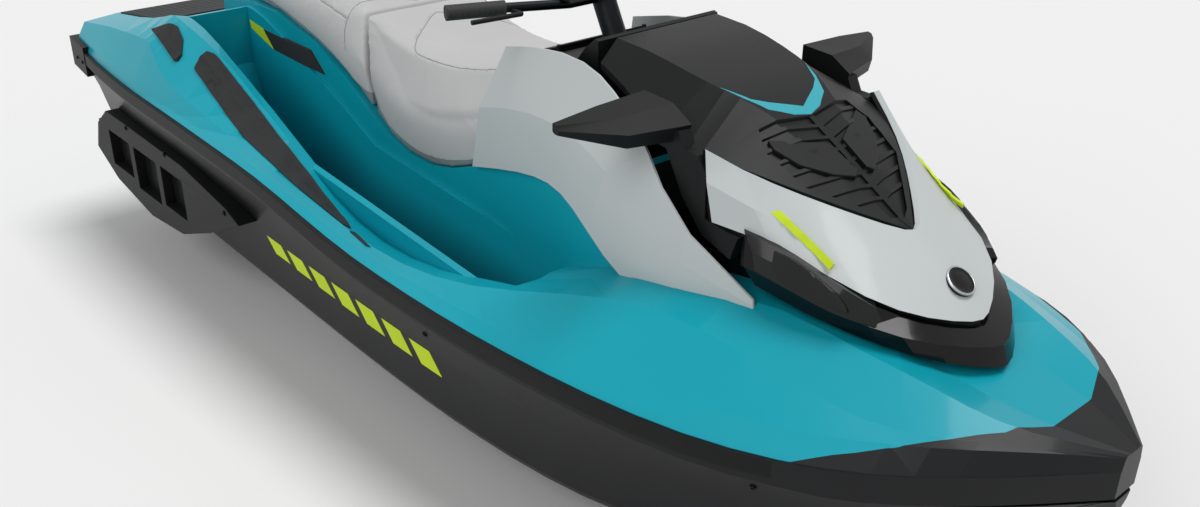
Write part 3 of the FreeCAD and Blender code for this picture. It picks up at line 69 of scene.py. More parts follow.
# %% Colour helper
def linear(hex_value):
    """An sRGB hex colour as linear RGBA."""
    channels = [int(hex_value[k:k + 2], 16) / 255 for k in (1, 3, 5)]
    return [c / 12.92 if c <= 0.04045 else ((c + 0.055) / 1.055) ** 2.4 for c in channels] + [1.0]


print("teal gel-coat in linear light:", [round(c, 3) for c in linear("#0A9AAC")])

# %% [markdown]
# ## One helper for node trees
#
# Each finish is a small node tree. One function adds a node, sets its values and links its
# inputs, so a material reads as a short list from the pattern to the shader. Each finish here
# starts with a colour that drifts a little, as no real surface is of one even shade, and most end
# with a relief whose depth is a real one.


# %% Node helper
def add_node(tree, kind, settings=(), links=()):
    """A node with its settings: attributes by name, input values and links by socket."""
    node = tree.nodes.new(kind)
    for key, value in dict(settings).items():
        if isinstance(key, str) and hasattr(node, key):
            setattr(node, key, value)
        else:
            node.inputs[key].default_value = value
    for socket, source in dict(links).items():
        tree.links.new(source, node.inputs[socket])
    return node


def new_material(name):
    """An empty material with its node tree and the object's own coordinates in metres."""
    material = bpy.data.materials.new(name)
    material.use_nodes = True
    tree = material.node_tree
    tree.nodes.clear()
    place = add_node(tree, "ShaderNodeTexCoord").outputs["Object"]
    return material, tree, place


def drifting(tree, place, low, high, patch):
    """A colour that drifts between two near shades over patches of a real size in metres."""
    cloud = add_node(tree, "ShaderNodeTexNoise", {"Scale": 1 / patch, "Detail": 3.0},
                     {"Vector": place})
    blend = add_node(tree, "ShaderNodeMix", {"data_type": "RGBA", 6: linear(low), 7: linear(high)},
                     {0: cloud.outputs["Fac"]})
    return blend.outputs[2]


def surfaced(tree, colour, relief=None, depth=0.0, **values):
    """The shader with its colour, a relief of a real depth in metres and its plain values."""
    links = {"Base Color": colour}
    if relief is not None:
        bumps = add_node(tree, "ShaderNodeBump", {"Distance": depth, "Strength": 1.0},
                         {"Height": relief})
        links["Normal"] = bumps.outputs["Normal"]
    settings = {name.replace("_", " "): value for name, value in values.items()}
    shader = add_node(tree, "ShaderNodeBsdfPrincipled", settings, links)
    add_node(tree, "ShaderNodeOutputMaterial", links={"Surface": shader.outputs["BSDF"]})


print("helpers ready")

# %% [markdown]
# ## Gel-coat
#
# The deck and hull are pressed sheet moulding compound with a sprayed, pigmented finish and a
# clear top coat. What the eye gets is a deep colour under a soft gloss: a thin clear coat over a
# duller base, with the fine orange peel of sprayed paint. The peel's waves are drawn 6 mm long
# and 20 microns high, coarser than real ones, so that they show. The pale ABS panels are sprayed
# in the same way, and the vinyl films are built alike, with pigment under a clear layer.


# %% Sprayed gel-coat
def sprayed_gelcoat(name, low, high, roughness, coat, peel_wave=0.006, peel_depth=0.00002):
    material, tree, place = new_material(name)
    peel = add_node(tree, "ShaderNodeTexNoise", {"Scale": 1 / peel_wave, "Detail": 1.0},
                    {"Vector": place})
    surfaced(tree, drifting(tree, place, low, high, patch=0.6), peel.outputs["Fac"], peel_depth,
             Roughness=roughness, IOR=1.45, Specular_IOR_Level=0.2, Coat_Weight=coat,
             Coat_Roughness=0.08, Coat_IOR=1.45)
    return material


teal_gelcoat = sprayed_gelcoat("teal_gelcoat", "#0A9AAC", "#10A2B4", 0.34, 0.15)
charcoal_gelcoat = sprayed_gelcoat("charcoal_gelcoat", "#121315", "#17181A", 0.42, 0.1)
pale_abs = sprayed_gelcoat("pale_painted_abs", "#BEC4C4", "#C6CBCB", 0.42, 0.2)
lime_film = sprayed_gelcoat("lime_vinyl_film", "#C3DE14", "#CBE41C", 0.45, 0.1)
chevron_film = sprayed_gelcoat("bright_teal_vinyl_film", "#2FA7B7", "#38B0C0", 0.35, 0.3)
silver_film = sprayed_gelcoat("silver_vinyl_film", "#9A9EA0", "#A6AAAC", 0.4, 0.1)
signal_film = sprayed_gelcoat("orange_red_vinyl_film", "#B4432C", "#BC4B34", 0.4, 0.1)
print("gel-coats:", teal_gelcoat.name, charcoal_gelcoat.name, pale_abs.name)

# %% [markdown]
# ## Moulded plastics
#
# Rub rails, sponsons, console and mirror housings are injection moulded polypropylene with a
# leather-like texture etched into the tool, so they look matt and catch no sharp reflections. The
# hood's top is ABS with a smoother texture of the same kind. Real pits lie half a millimetre
# apart and are drawn 1.2 to 1.6 mm apart, so that they show. The fascia round the nose and the
# lamp lenses are ABS and polycarbonate from polished tools: black and smooth as glass.


# %% Moulded plastics
def etched_plastic(name, low, high, pit=0.0012, roughness=0.5, pit_depth=0.00012):
    material, tree, place = new_material(name)
    pits = add_node(tree, "ShaderNodeTexVoronoi", {"Scale": 1 / pit, "feature": "SMOOTH_F1"},
                    {"Vector": place})
    surfaced(tree, drifting(tree, place, low, high, patch=0.25), pits.outputs["Distance"],
             pit_depth, Roughness=roughness, IOR=1.45, Specular_IOR_Level=0.2)
    return material


def polished_plastic(name, low, high, index):
    material, tree, place = new_material(name)
    surfaced(tree, drifting(tree, place, low, high, patch=0.3), Roughness=0.12, IOR=index,
             Specular_IOR_Level=0.2, Coat_Weight=0.15, Coat_Roughness=0.03)
    return material


black_polypropylene = etched_plastic("black_polypropylene", "#0E0F10", "#131415")
hood_abs = etched_plastic("satin_black_abs", "#101112", "#151617", 0.0016, 0.42)
black_abs = polished_plastic("polished_black_abs", "#050505", "#080809", 1.45)
smoked_lens = polished_plastic("smoked_polycarbonate", "#121314", "#18191A", 1.5)
print("plastics:", black_polypropylene.name, hood_abs.name, black_abs.name, smoked_lens.name)

# %% [markdown]
# ## Soft surfaces
#
# The saddle is expanded marine vinyl over foam: a fine grain of about 2 mm and a satin shine.
# Grips are ribbed, soft rubber, and the mats are sheets of cross-linked foam with milled grooves.
# The grooves are drawn 24 mm apart on the mats and 8 mm apart on the knee pads, and the grips'
# ribs 12 mm apart, all coarser than real ones, so that they show. The wave texture repeats every
# tenth of pi in its own coordinate, and that gives its scale for a real spacing.


# %% Vinyl, rubber and foam
def band_scale(spacing):
    """The wave texture's scale for bands that lie this far apart, in metres."""
    return 0.1 * math.pi / spacing


def marine_vinyl(name, low, high, grain=0.0022, grain_depth=0.0002):
    material, tree, place = new_material(name)
    cells = add_node(tree, "ShaderNodeTexVoronoi", {"Scale": 1 / grain, "feature": "F1"},
                     {"Vector": place})
    surfaced(tree, drifting(tree, place, low, high, patch=0.18), cells.outputs["Distance"],
             grain_depth, Roughness=0.5, IOR=1.5, Sheen_Weight=0.08, Sheen_Roughness=0.4)
    return material


def grooved_foam(name, low, high, spacing, groove_depth):
    material, tree, place = new_material(name)
    grooves = add_node(tree, "ShaderNodeTexWave",
                       {"Scale": band_scale(spacing), "wave_profile": "SIN",
                        "bands_direction": "Y"}, {"Vector": place})
    surfaced(tree, drifting(tree, place, low, high, patch=0.1), grooves.outputs["Fac"],
             groove_depth, Roughness=0.8, IOR=1.45)
    return material


def ribbed(name, low, high, spacing, rib_depth=0.0008):
    """A dull finish with even ribs, as of grip rubber or of twisted thread."""
    material, tree, place = new_material(name)
    ribs = add_node(tree, "ShaderNodeTexWave",
                    {"Scale": band_scale(spacing), "bands_direction": "Y"}, {"Vector": place})
    surfaced(tree, drifting(tree, place, low, high, patch=0.05), ribs.outputs["Fac"], rib_depth,
             Roughness=0.65, IOR=1.52)
    return material


grey_vinyl = marine_vinyl("grey_marine_vinyl", "#B9B9B9", "#C4C4C4")
# A darker grey with a slight teal tint, for the welts and the skirt at the cushions' foot. On the
# skirt the teal tint is a painted reflection of the teal deck.
dark_vinyl_and_painted_reflection = marine_vinyl("dark_vinyl_and_painted_deck_reflection", "#7F8587", "#878D8F")
thread = ribbed("grey_polyester_thread", "#6E7072", "#7A7C7E", 0.00395)
dark_foam = grooved_foam("dark_foam_mat", "#191A1C", "#202224", 0.02369, 0.0012)
knee_foam = grooved_foam("dark_knee_pad_foam", "#191A1B", "#1F2021", 0.0079, 0.0003)
grip_rubber = ribbed("grip_rubber", "#0E0E0E", "#151515", 0.01184)
print("soft finishes:", grey_vinyl.name, dark_foam.name, grip_rubber.name)

# %% [markdown]
# ## Metals and glass
#
# The pump, ring, nozzle and gate are sand-cast aluminium, the impeller, shaft and ladder are
# ground stainless steel, and the handlebar is steel tube with a black zinc coat. A metal keeps the
# shader's default index, and its look comes from metallic 1, its colour and its roughness. The
# grain of the casting sand is drawn 2 mm wide, coarser than real sand, so that it shows. Mirror
# glass is silvered: a metal as smooth as glass.


# %% Metals
def grained_metal(name, low, high, roughness, grain=0.002, grain_depth=0.0001):
    material, tree, place = new_material(name)
    sand = add_node(tree, "ShaderNodeTexNoise", {"Scale": 1 / grain, "Detail": 2.0},
                    {"Vector": place})
    surfaced(tree, drifting(tree, place, low, high, patch=0.05), sand.outputs["Fac"], grain_depth,
             Roughness=roughness, Metallic=1.0)
    return material


cast_aluminium = grained_metal("cast_aluminium", "#8E9295", "#A0A3A5", 0.45)
ground_steel = grained_metal("ground_stainless_steel", "#A9ABAD", "#B8BABC", 0.25, 0.0008)
black_steel = grained_metal("black_zinc_steel", "#1B1C1E", "#242527", 0.4, 0.0008)
silvered_glass = grained_metal("silvered_glass", "#DDE1E3", "#E2E6E8", 0.03, 0.05, 0.000001)
print("metals:", cast_aluminium.name, ground_steel.name, silvered_glass.name)

# %% [markdown]
# ## Finishes on the rigid mouldings
#
# A moulding whose shape is right keeps its mesh and only gets the finish of its real material.


# %% Dress the nodes
finish_of = {
    teal_gelcoat: ["deck"],
    charcoal_gelcoat: ["hull", "bow_cap"],
    black_polypropylene: ["rub_rail_port", "rub_rail_starboard", "stern_bumpers",
                          "storage_bin", "console", "hood_liner", "hood_side_bands",
                          "steering_collar", "grab_handle", "sponson_port", "sponson_starboard",
                          "glovebox_lid", "levers", "handlebar_pad", "mirror_port",
                          "mirror_starboard"],
    hood_abs: ["hood_top"],
    pale_abs: ["nose_panel", "side_panel_port", "side_panel_starboard"],
    black_abs: ["front_fascia", "gauge"],
    smoked_lens: ["lamps"],
    grey_vinyl: ["seat_front", "seat_rear"],
    grip_rubber: ["grips"],
    dark_foam: ["stern_mat", "footwell_mats"],
    cast_aluminium: ["jet_pump", "trim_ring", "steering_nozzle", "reverse_gate", "ride_plate",
                     "intake_grate", "engine_block"],
    black_steel: ["handlebar"],
    ground_steel: ["impeller", "drive_shaft", "boarding_ladder", "ladder_brackets", "bow_eye"],
}
for material, names in finish_of.items():
    for name in names:
        mesh = nodes[name].data
        mesh.materials.clear()
        mesh.materials.append(material)
        for face in mesh.polygons:
            face.material_index = 0
print("dressed", sum(len(names) for names in finish_of.values()), "nodes")

# %% [markdown]
# ## Shapes to lay things on
#
# Trim follows the moulding it is fixed to, so the next helpers read a moulding's shape at rest:
# one gives a search tree of its faces in the row frame, another drops a point onto it along a
# direction.


# %% Reading a moulding's surface
def placed_mesh(name):
    """A node's mesh in the row frame."""
    mesh = nodes[name].data.copy()
    mesh.transform(nodes[name].matrix_world)
    return mesh


def surface_of(*names):
    """One search tree over the faces of several mouldings."""
    points = []
    faces = []
    for name in names:
        mesh = placed_mesh(name)
        start = len(points)
        points += [vertex.co.copy() for vertex in mesh.vertices]
        faces += [[start + k for k in face.vertices] for face in mesh.polygons]
    return BVHTree.FromPolygons(points, faces)


def dropped(surface, point, aim, reach=0.4):
    """Where a point lands on the surface along aim, and the surface's outward normal there."""
    place, normal = surface.ray_cast(Vector(point) - aim * reach, aim)[:2]
    if place is None:
        place, normal = surface.find_nearest(Vector(point))[:2]
    return place, (normal if normal.dot(aim) < 0 else -normal)


bpy.context.view_layer.update()
print("deck faces:", len(nodes["deck"].data.polygons))

# %% [markdown]
# ## Pieces
#
# Every added piece is one mesh with one finish, and it rides on the body that carries it. A piece
# traced on one side of the craft gets its mirror image in the same mesh.


# %% Piece helpers
def new_piece(name, points, faces, material, body, smooth=True):
    """A mesh object that rides on a body."""
    mesh = bpy.data.meshes.new(name)
    mesh.from_pydata([tuple(point) for point in points], [], faces)
    mesh.materials.append(material)
    for face in mesh.polygons:
        face.use_smooth = smooth
    piece = bpy.data.objects.new(name, mesh)
    bpy.context.collection.objects.link(piece)
    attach(piece, body)
    return piece


def both_sides(points, faces):
    """The same points and faces with their mirror image across the centreline."""
    start = len(points)
    other = [Vector((point[0], -point[1], point[2])) for point in points]
    flipped = [[start + k for k in reversed(face)] for face in faces]
    return list(points) + other, list(faces) + flipped


def modifier(piece, kind, **values):
    """A modifier with its settings."""
    added = piece.modifiers.new(kind.lower(), kind)
    for name, value in values.items():
        setattr(added, name, value)
    return added


print("piece helpers ready")

# %% [markdown]
# ## Pads, films and panes
#
# Knee pads, decal films and mirror panes are all cut from sheet and stuck on. The helper takes the
# cut outline, fills it with a grid of small faces, drops every corner onto the moulding, lifts it
# by the sheet's thickness and closes the sheet straight down to just below the surface. A stiff
# sheet spans small hollows, so it can be pulled taut first. A small bevel rounds the cut edge.


# %% Sheet laid on a moulding
def taut(points, faces, aim, rounds):
    """The sheet pulled taut: no corner sinks below the middle of its neighbours."""
    near = {k: set() for k in range(len(points))}
    for face in faces:
        for one, two in zip(face, face[1:] + face[:1]):
            near[one].add(two)
            near[two].add(one)
    depths = [point.dot(aim) for point in points]
    for repeat in range(rounds):
        means = [sum(depths[j] for j in near[k]) / len(near[k]) for k in range(len(points))]
        depths = [min(depth, mean) for depth, mean in zip(depths, means)]
    return [point + aim * (depth - point.dot(aim)) for point, depth in zip(points, depths)]


def closed(points, faces, way):
    """A sheet with its underside and its cut edge, straight down along way."""
    count = len(points)
    rims = {edge for face in faces for edge in zip(face, face[1:] + face[:1])}
    under = [[count + k for k in reversed(face)] for face in faces]
    walls = [[two, one, count + one, count + two] for one, two in rims if (two, one) not in rims]
    return points + [point + way for point in points], faces + under + sorted(walls)


def laid(name, outline, aim, surface, thick, material, body, mirrored=True, step=0.012,
         reach=0.4, rounds=0, sink=0.0015):
    """A sheet cut to an outline and laid on a surface along aim.

    Its faces are a grid of this step, its drop starts at this reach, it is pulled taut for a
    number of rounds, and its walls sink this far below the surface.
    """
    aim = Vector(aim).normalized()
    side = aim.orthogonal().normalized()
    other = aim.cross(side)
    form = bmesh.new()
    corners = [Vector(point) for point in outline]
    flat = [form.verts.new((corner.dot(side), corner.dot(other), 0)) for corner in corners]
    form.faces.new(flat)
    bmesh.ops.triangulate(form, faces=form.faces[:], ngon_method="EAR_CLIP")
    for axis, way in enumerate((Vector((1, 0, 0)), Vector((0, 1, 0)))):
        places = [vertex.co[axis] for vertex in form.verts]
        cuts = int((max(places) - min(places)) / step)
        for number in range(1, cuts + 1):
            bmesh.ops.bisect_plane(form, geom=form.verts[:] + form.edges[:] + form.faces[:],
                                   plane_co=way * (min(places) + number * step), plane_no=way)
    shortest_edge = 0.0002
    bmesh.ops.dissolve_degenerate(form, edges=form.edges[:], dist=shortest_edge)
    depth = sum(corner.dot(aim) for corner in corners) / len(corners)
    form.verts.ensure_lookup_table()
    form.verts.index_update()
    points = []
    for vertex in form.verts:
        near = side * vertex.co.x + other * vertex.co.y + aim * depth
        points.append(dropped(surface, near, aim, reach)[0] - aim * thick)
    faces = [[vertex.index for vertex in face.verts] for face in form.faces]
    form.free()
    points = taut(points, faces, aim, rounds)
    first = faces[0]
    turn = (points[first[1]] - points[first[0]]).cross(points[first[2]] - points[first[0]])
    if turn.dot(aim) > 0:
        faces = [list(reversed(face)) for face in faces]
    points, faces = closed(points, faces, aim * (thick + sink))
    if mirrored:
        points, faces = both_sides(points, faces)
    piece = new_piece(name, points, faces, material, body)
    cut_edge = min(0.0012, thick * 0.4)
    modifier(piece, "BEVEL", width=cut_edge, segments=2, limit_method="ANGLE",
             angle_limit=math.radians(50))
    modifier(piece, "WEIGHTED_NORMAL", weight=50, keep_sharp=False)
    return piece


print("sheet helper ready")

# %% [markdown]
# ## Knee and hand pads on the gunwales
#
# Three foam pads lie on each side: a small one on the rear shoulder, a long, tapering one along
# the gunwale, where the rider's shin rests, and a narrow tip ahead of it. They are 3 to 4 mm thick
# and glued on. The two larger ones cross a crease of the deck and are pulled taut over it.

# %% Gunwale pads
deck_surface = surface_of("deck")
down = (0.0, 0.30, -1.0)
pad_thick = 0.004
tip_thick = 0.003
long_pad_outline = [
    (-0.905, -0.518, 0.470), (-0.914, -0.490, 0.495), (-0.903, -0.474, 0.511),
    (-0.874, -0.466, 0.509), (-0.845, -0.464, 0.495), (-0.656, -0.463, 0.416),
    (-0.380, -0.469, 0.308), (-0.150, -0.503, 0.272), (-0.105, -0.514, 0.272),
    (-0.070, -0.532, 0.288), (-0.080, -0.542, 0.292), (-0.300, -0.546, 0.315),
    (-0.607, -0.540, 0.375), (-0.700, -0.532, 0.400), (-0.800, -0.524, 0.430)]
small_pad_outline = [
    (-1.170, -0.517, 0.511), (-1.112, -0.489, 0.544), (-1.090, -0.484, 0.545),
    (-1.065, -0.482, 0.545), (-1.035, -0.488, 0.530), (-1.010, -0.494, 0.520),
    (-0.978, -0.517, 0.484), (-0.978, -0.529, 0.466), (-0.992, -0.535, 0.466)]
tip_outline = [(-0.046, -0.548, 0.290), (-0.044, -0.534, 0.281), (0.044, -0.546, 0.280),
               (0.032, -0.552, 0.282)]
long_pad = laid("knee_pads", long_pad_outline, down, deck_surface, pad_thick, knee_foam, "craft",
                rounds=6, sink=0.006)
small_pad = laid("shoulder_pads", small_pad_outline, down, deck_surface, pad_thick, knee_foam,
                 "craft", rounds=6, sink=0.006)
front_pad = laid("front_pad_tips", tip_outline, down, deck_surface, tip_thick, knee_foam, "craft")
print("pads:", long_pad.name, small_pad.name, front_pad.name)

# %% [markdown]
# ## Decal films
#
# The craft wears plain colour films. A lime stripe lies on the inner wall beside the rear seat,
# with a thin strip of black foam ahead of it, and a bright teal chevron lies on the hood. An apron
# of black sheet covers the deck under the hood's rear edge. Film is under 1 mm thick and follows
# every crease, while the two stripes on the wall are stiffer and span its hollows.

# %% Stripes and chevron
inward = (0.0, 1.0, 0.0)
film_thick = 0.0008
stripe_thick = 0.0015
lime_outline = [(-1.112, -0.238, 0.512), (-1.030, -0.238, 0.502), (-0.975, -0.238, 0.452),
                (-1.105, -0.238, 0.488)]
black_outline = [(-1.026, -0.238, 0.502), (-0.760, -0.228, 0.500), (-0.690, -0.228, 0.446),
                 (-0.970, -0.238, 0.452)]
lime_stripe = laid("wall_stripe_lime", lime_outline, inward, deck_surface, stripe_thick, lime_film,
                   "craft", step=0.008, reach=0.1, rounds=60, sink=0.006)
black_stripe = laid("wall_stripe_black", black_outline, inward, deck_surface, stripe_thick,
                    knee_foam, "craft", step=0.008, reach=0.1, rounds=200, sink=0.008)
hood_surface = surface_of("hood_top")
chevron_side = [(0.724, -0.129, 0.759), (0.770, -0.111, 0.747), (0.815, -0.085, 0.729),
                (0.843, -0.040, 0.716)]
chevron_inner = [(0.818, -0.030, 0.728), (0.800, -0.068, 0.735), (0.779, -0.098, 0.743)]
other_side = [(x, -y, z) for x, y, z in chevron_side]
chevron_outline = (chevron_side + [(0.854, 0.0, 0.710)] + other_side[::-1]
                   + [(x, -y, z) for x, y, z in chevron_inner[::-1]] + [(0.832, 0.0, 0.724)]
                   + chevron_inner)
chevron = laid("hood_chevron", chevron_outline, (0.35, 0.0, -1.0), hood_surface, film_thick,
               chevron_film, "hood", mirrored=False, reach=0.1)
apron_thick = 0.002
apron_outline = [(0.440, -0.200, 0.47), (0.606, -0.200, 0.40), (0.606, 0.200, 0.40),
                 (0.440, 0.200, 0.47)]
apron = laid("under_hood_apron", apron_outline, (0.0, 0.0, -1.0), deck_surface, apron_thick,
             black_polypropylene, "craft", mirrored=False, step=0.03, reach=0.1)
print("films:", lime_stripe.name, black_stripe.name, chevron.name, apron.name)

# %% [markdown]
# ## Scoop plates
#
# Two raised plates stand in the rear half of the air scoop, one each side of the spine. They are
# moulded slabs with slanted tops, so their corners are given outright instead of being dropped
# onto the ribs below.


# %% Slabs
def slab(name, outline, aim, deep, material, body, edge=0.002):
    """A moulded slab under a traced top outline, with its mirror image."""
    aim = Vector(aim).normalized()
    count = len(outline)
    points = [Vector(point) for point in outline]
    points += [point + aim * deep for point in points]
    faces = [list(range(count)), [count + k for k in reversed(range(count))]]
    faces += [[k, count + k, count + (k + 1) % count, (k + 1) % count] for k in range(count)]
    middle = sum(points[:count], Vector()) / count
    turn = (points[1] - middle).cross(points[2] - middle)
    if turn.dot(aim) > 0:
        faces = [list(reversed(face)) for face in faces]
    piece = new_piece(name, *both_sides(points, faces), material, body)
    modifier(piece, "BEVEL", width=edge, segments=3, limit_method="ANGLE",
             angle_limit=math.radians(20))
    modifier(piece, "WEIGHTED_NORMAL", weight=60, keep_sharp=False)
    return piece


plate_depth = 0.018
plate_outline = [(0.862, -0.135, 0.6925), (0.921, -0.020, 0.6765), (0.990, -0.014, 0.6400),
                 (0.998, -0.028, 0.6330), (0.976, -0.070, 0.6410), (0.930, -0.118, 0.6590),
                 (0.884, -0.141, 0.6820)]
plate = slab("scoop_plates", plate_outline, (-0.3, 0.0, -1.0), plate_depth, hood_abs, "hood")
print("slab:", plate.name)

# %% [markdown]
# ## Lines on the glovebox lid
#
# Three thin lines run across the lid in front of the display, two silver ones and an orange-red
# one. They are strips of film laid on the lid, so they open with it.

# %% Lid lines
lid_surface = surface_of("glovebox_lid")
line_thick = 0.0006
half_line = 0.112
for name, x, wide, film in (("lid_line_rear", 0.148, 0.004, silver_film),
                            ("lid_line_middle", 0.160, 0.003, silver_film),
                            ("lid_line_front", 0.216, 0.005, signal_film)):
    height = 0.668 + (x - 0.134) * 0.61
    outline = [(x, -half_line, height), (x + wide, -half_line, height),
               (x + wide, half_line, height), (x, half_line, height)]
    laid(name, outline, (0.52, 0.0, -0.854), lid_surface, line_thick, film, "glovebox_door",
         mirrored=False, step=0.03, reach=0.05)
print("three lines on the lid")

# %% [markdown]
# ## Bars on the hull and the nose
#
# A row of slanted lime bars runs along each side of the hull, and a slim one lies on each cheek of
# the nose. Each is a four-cornered film. The row's lower edge falls towards the bow with the
# chine, so every bar is worked out from its place along the hull.

# %% Hull bars
hull_surface = surface_of("hull")
bar_starts = (-0.505, -0.390, -0.275, -0.160, -0.045, 0.070, 0.185)
bar_width = 0.080
bar_slant = 0.025
beside_hull = -0.55
for number, x in enumerate(bar_starts):
    top = 0.107 - 0.03 * max(x, 0)
    low = 0.043 - 0.03 * x
    outline = [(x, beside_hull, top), (x + bar_width, beside_hull, top),
               (x + bar_width + bar_slant, beside_hull, low), (x + bar_slant, beside_hull, low)]
    laid("hull_bar_%d" % (number + 1), outline, inward, hull_surface, film_thick, lime_film,
         "craft", step=0.03)
nose_surface = surface_of("nose_panel")
nose_bar_outline = [(0.958, -0.224, 0.600), (0.969, -0.211, 0.604), (1.097, -0.192, 0.534),
                    (1.094, -0.204, 0.526)]
nose_bar = laid("nose_bar", nose_bar_outline, (0.0, 1.0, -0.6), nose_surface, film_thick,
                lime_film, "hood", step=0.01, rounds=60, sink=0.004)
print("bars:", len(bar_starts), "a side and", nose_bar.name)

# %% [markdown]
# ## Lamp lenses, mirror panes and the display
#
# Each lamp pod holds a smoked inner lens, a thin plate that follows the pod. The mirrors' panes are
# silvered glass on the rear faces of the housings, and the instrument is a dark display under the
# console's hood. All are sheets too, so the same helper lays them on.

# %% Glass
lamp_surface = surface_of("lamps")
lens_outline = [(0.999, -0.255, 0.548), (1.035, -0.243, 0.540), (1.072, -0.232, 0.525),
                (1.125, -0.224, 0.500), (1.146, -0.222, 0.482), (1.152, -0.221, 0.470),
                (1.108, -0.238, 0.478), (1.046, -0.256, 0.490), (1.017, -0.263, 0.502),
                (1.002, -0.263, 0.528)]
lens_thick = 0.002
pane_thick = 0.0012
lamp_lens = laid("lamp_inner_lenses", lens_outline, (-0.35, 1.0, -0.35), lamp_surface, lens_thick,
                 smoked_lens, "hood", step=0.02, reach=0.05, rounds=60, sink=0.006)
for side, mirror_name in ((1, "mirror_port"), (-1, "mirror_starboard")):
    mirror_surface = surface_of(mirror_name)
    pane_outline = [(0.627, side * y, z) for y, z in (
        (0.250, 0.7040), (0.360, 0.7055), (0.462, 0.7285), (0.466, 0.7365), (0.366, 0.7430),
        (0.250, 0.7460))]
    laid(mirror_name + "_pane", pane_outline, (1.0, 0.0, 0.0), mirror_surface, pane_thick,
         silvered_glass, "hood", mirrored=False, step=0.05)
gauge_surface = surface_of("gauge", "console")
display_outline = [(0.346, y, z) for y, z in (
    (-0.056, 0.737), (0.056, 0.737), (0.050, 0.764), (-0.050, 0.764))]
display = laid("display_pane", display_outline, (1.0, 0.0, -0.25), gauge_surface, pane_thick,
               smoked_lens, "craft", mirrored=False, step=0.03)
print("glass:", lamp_lens.name, display.name)

# %% [markdown]
# ## Turned pieces: bolts
#
# Round fittings are drawn as a half section turned about its axis. The section of a socket-head
# bolt has a washer face, a chamfer and a recess, so it catches light as a real head does. Each
# bolt is dropped onto its moulding and stands square to the face that it lands on.


# %% Turned pieces
def turned(section, centre, axis, corners=24):
    """Points and faces of a section of (radius, height) pairs turned about an axis."""
    axis = Vector(axis).normalized()
    side = axis.orthogonal().normalized()
    other = axis.cross(side)
    points = []
    for radius, height in section:
        for k in range(corners):
            angle = 2 * math.pi * k / corners
            points.append(Vector(centre) + axis * height
                          + (side * math.cos(angle) + other * math.sin(angle)) * radius)
    faces = []
    for row in range(len(section) - 1):
        for k in range(corners):
            after = (k + 1) % corners
            faces.append([row * corners + k, row * corners + after,
                          (row + 1) * corners + after, (row + 1) * corners + k])
    last = (len(section) - 1) * corners
    faces.append(list(reversed(range(corners))))
    faces.append([last + k for k in range(corners)])
    return points, faces


def gathered(parts):
    """Several sets of points and faces as one."""
    points = []
    faces = []
    for more_points, more_faces in parts:
        start = len(points)
        points += more_points
        faces += [[start + k for k in face] for face in more_faces]
    return points, faces


def bolt_section(radius):
    """Bottom inside the moulding, washer face, chamfered head and a recess."""
    return [(radius, -0.004), (radius, 0.0006), (radius * 0.82, 0.0008), (radius * 0.78, 0.0035),
            (radius * 0.70, 0.0042), (radius * 0.42, 0.0042), (radius * 0.38, 0.0016),
            (radius * 0.02, 0.0012)]


def bolts_on(name, surface, points, aim, radius, material, body):
    """Bolts dropped on a surface, on both sides of the craft."""
    parts = []
    for point in points:
        place, normal = dropped(surface, point, Vector(aim).normalized())
        parts.append(turned(bolt_section(radius), place, normal))
    points, faces = both_sides(*gathered(parts))
    piece = new_piece(name, points, faces, material, body)
    modifier(piece, "EDGE_SPLIT", split_angle=math.radians(35))


sponson_surface = surface_of("sponson_starboard")
bolts_on("sponson_bolts", sponson_surface,
         [(-1.52, -0.6, 0.19), (-1.27, -0.6, 0.205), (-0.99, -0.6, 0.205), (-0.62, -0.6, 0.15)],
         inward, 0.009, black_steel, "craft")
bolts_on("hull_bolts", hull_surface, [(1.147, -0.5, 0.190), (0.30, -0.6, 0.175)], inward, 0.008,
         black_steel, "craft")
bumper_surface = surface_of("stern_bumpers")
bolts_on("bumper_bolts", bumper_surface, [(-1.64, -0.6, 0.335), (-1.58, -0.6, 0.335)], inward,
         0.007, black_steel, "craft")
print("bolts on sponsons, hull and bumpers")

# %% [markdown]
# ## Key post and nose disc
#
# Two more turned pieces. The post for the safety key stands on the console ahead of the bar: a
# washer with a hollow, and in it a knob with twelve slim ribs for the fingers. The round spot on
# the nose carries a plain domed disc with a thin bright ring.

# %% Key post
rib_count = 12
rib_circle = 0.0122
key_place, key_normal = dropped(surface_of("console"), (0.300, -0.075, 0.80), Vector((0, 0, -1)))
key_side = key_normal.orthogonal().normalized()
key_section = [(0.021, -0.006), (0.021, 0.004), (0.019, 0.006), (0.0155, 0.006), (0.0145, 0.003),
               (0.012, 0.003), (0.012, 0.016), (0.0105, 0.0185), (0.0005, 0.019)]
rib_section = [(0.0018, 0.003), (0.0018, 0.015), (0.0004, 0.0165)]
parts = [turned(key_section, key_place, key_normal, 32)]
for k in range(rib_count):
    angle = 2 * math.pi * k / rib_count
    way = key_side * math.cos(angle) + key_normal.cross(key_side) * math.sin(angle)
    parts.append(turned(rib_section, key_place + way * rib_circle, key_normal, 8))
key_post = new_piece("key_post", *gathered(parts), black_polypropylene, "craft")
modifier(key_post, "EDGE_SPLIT", split_angle=math.radians(35))
print("key post at", [round(v, 3) for v in key_place])

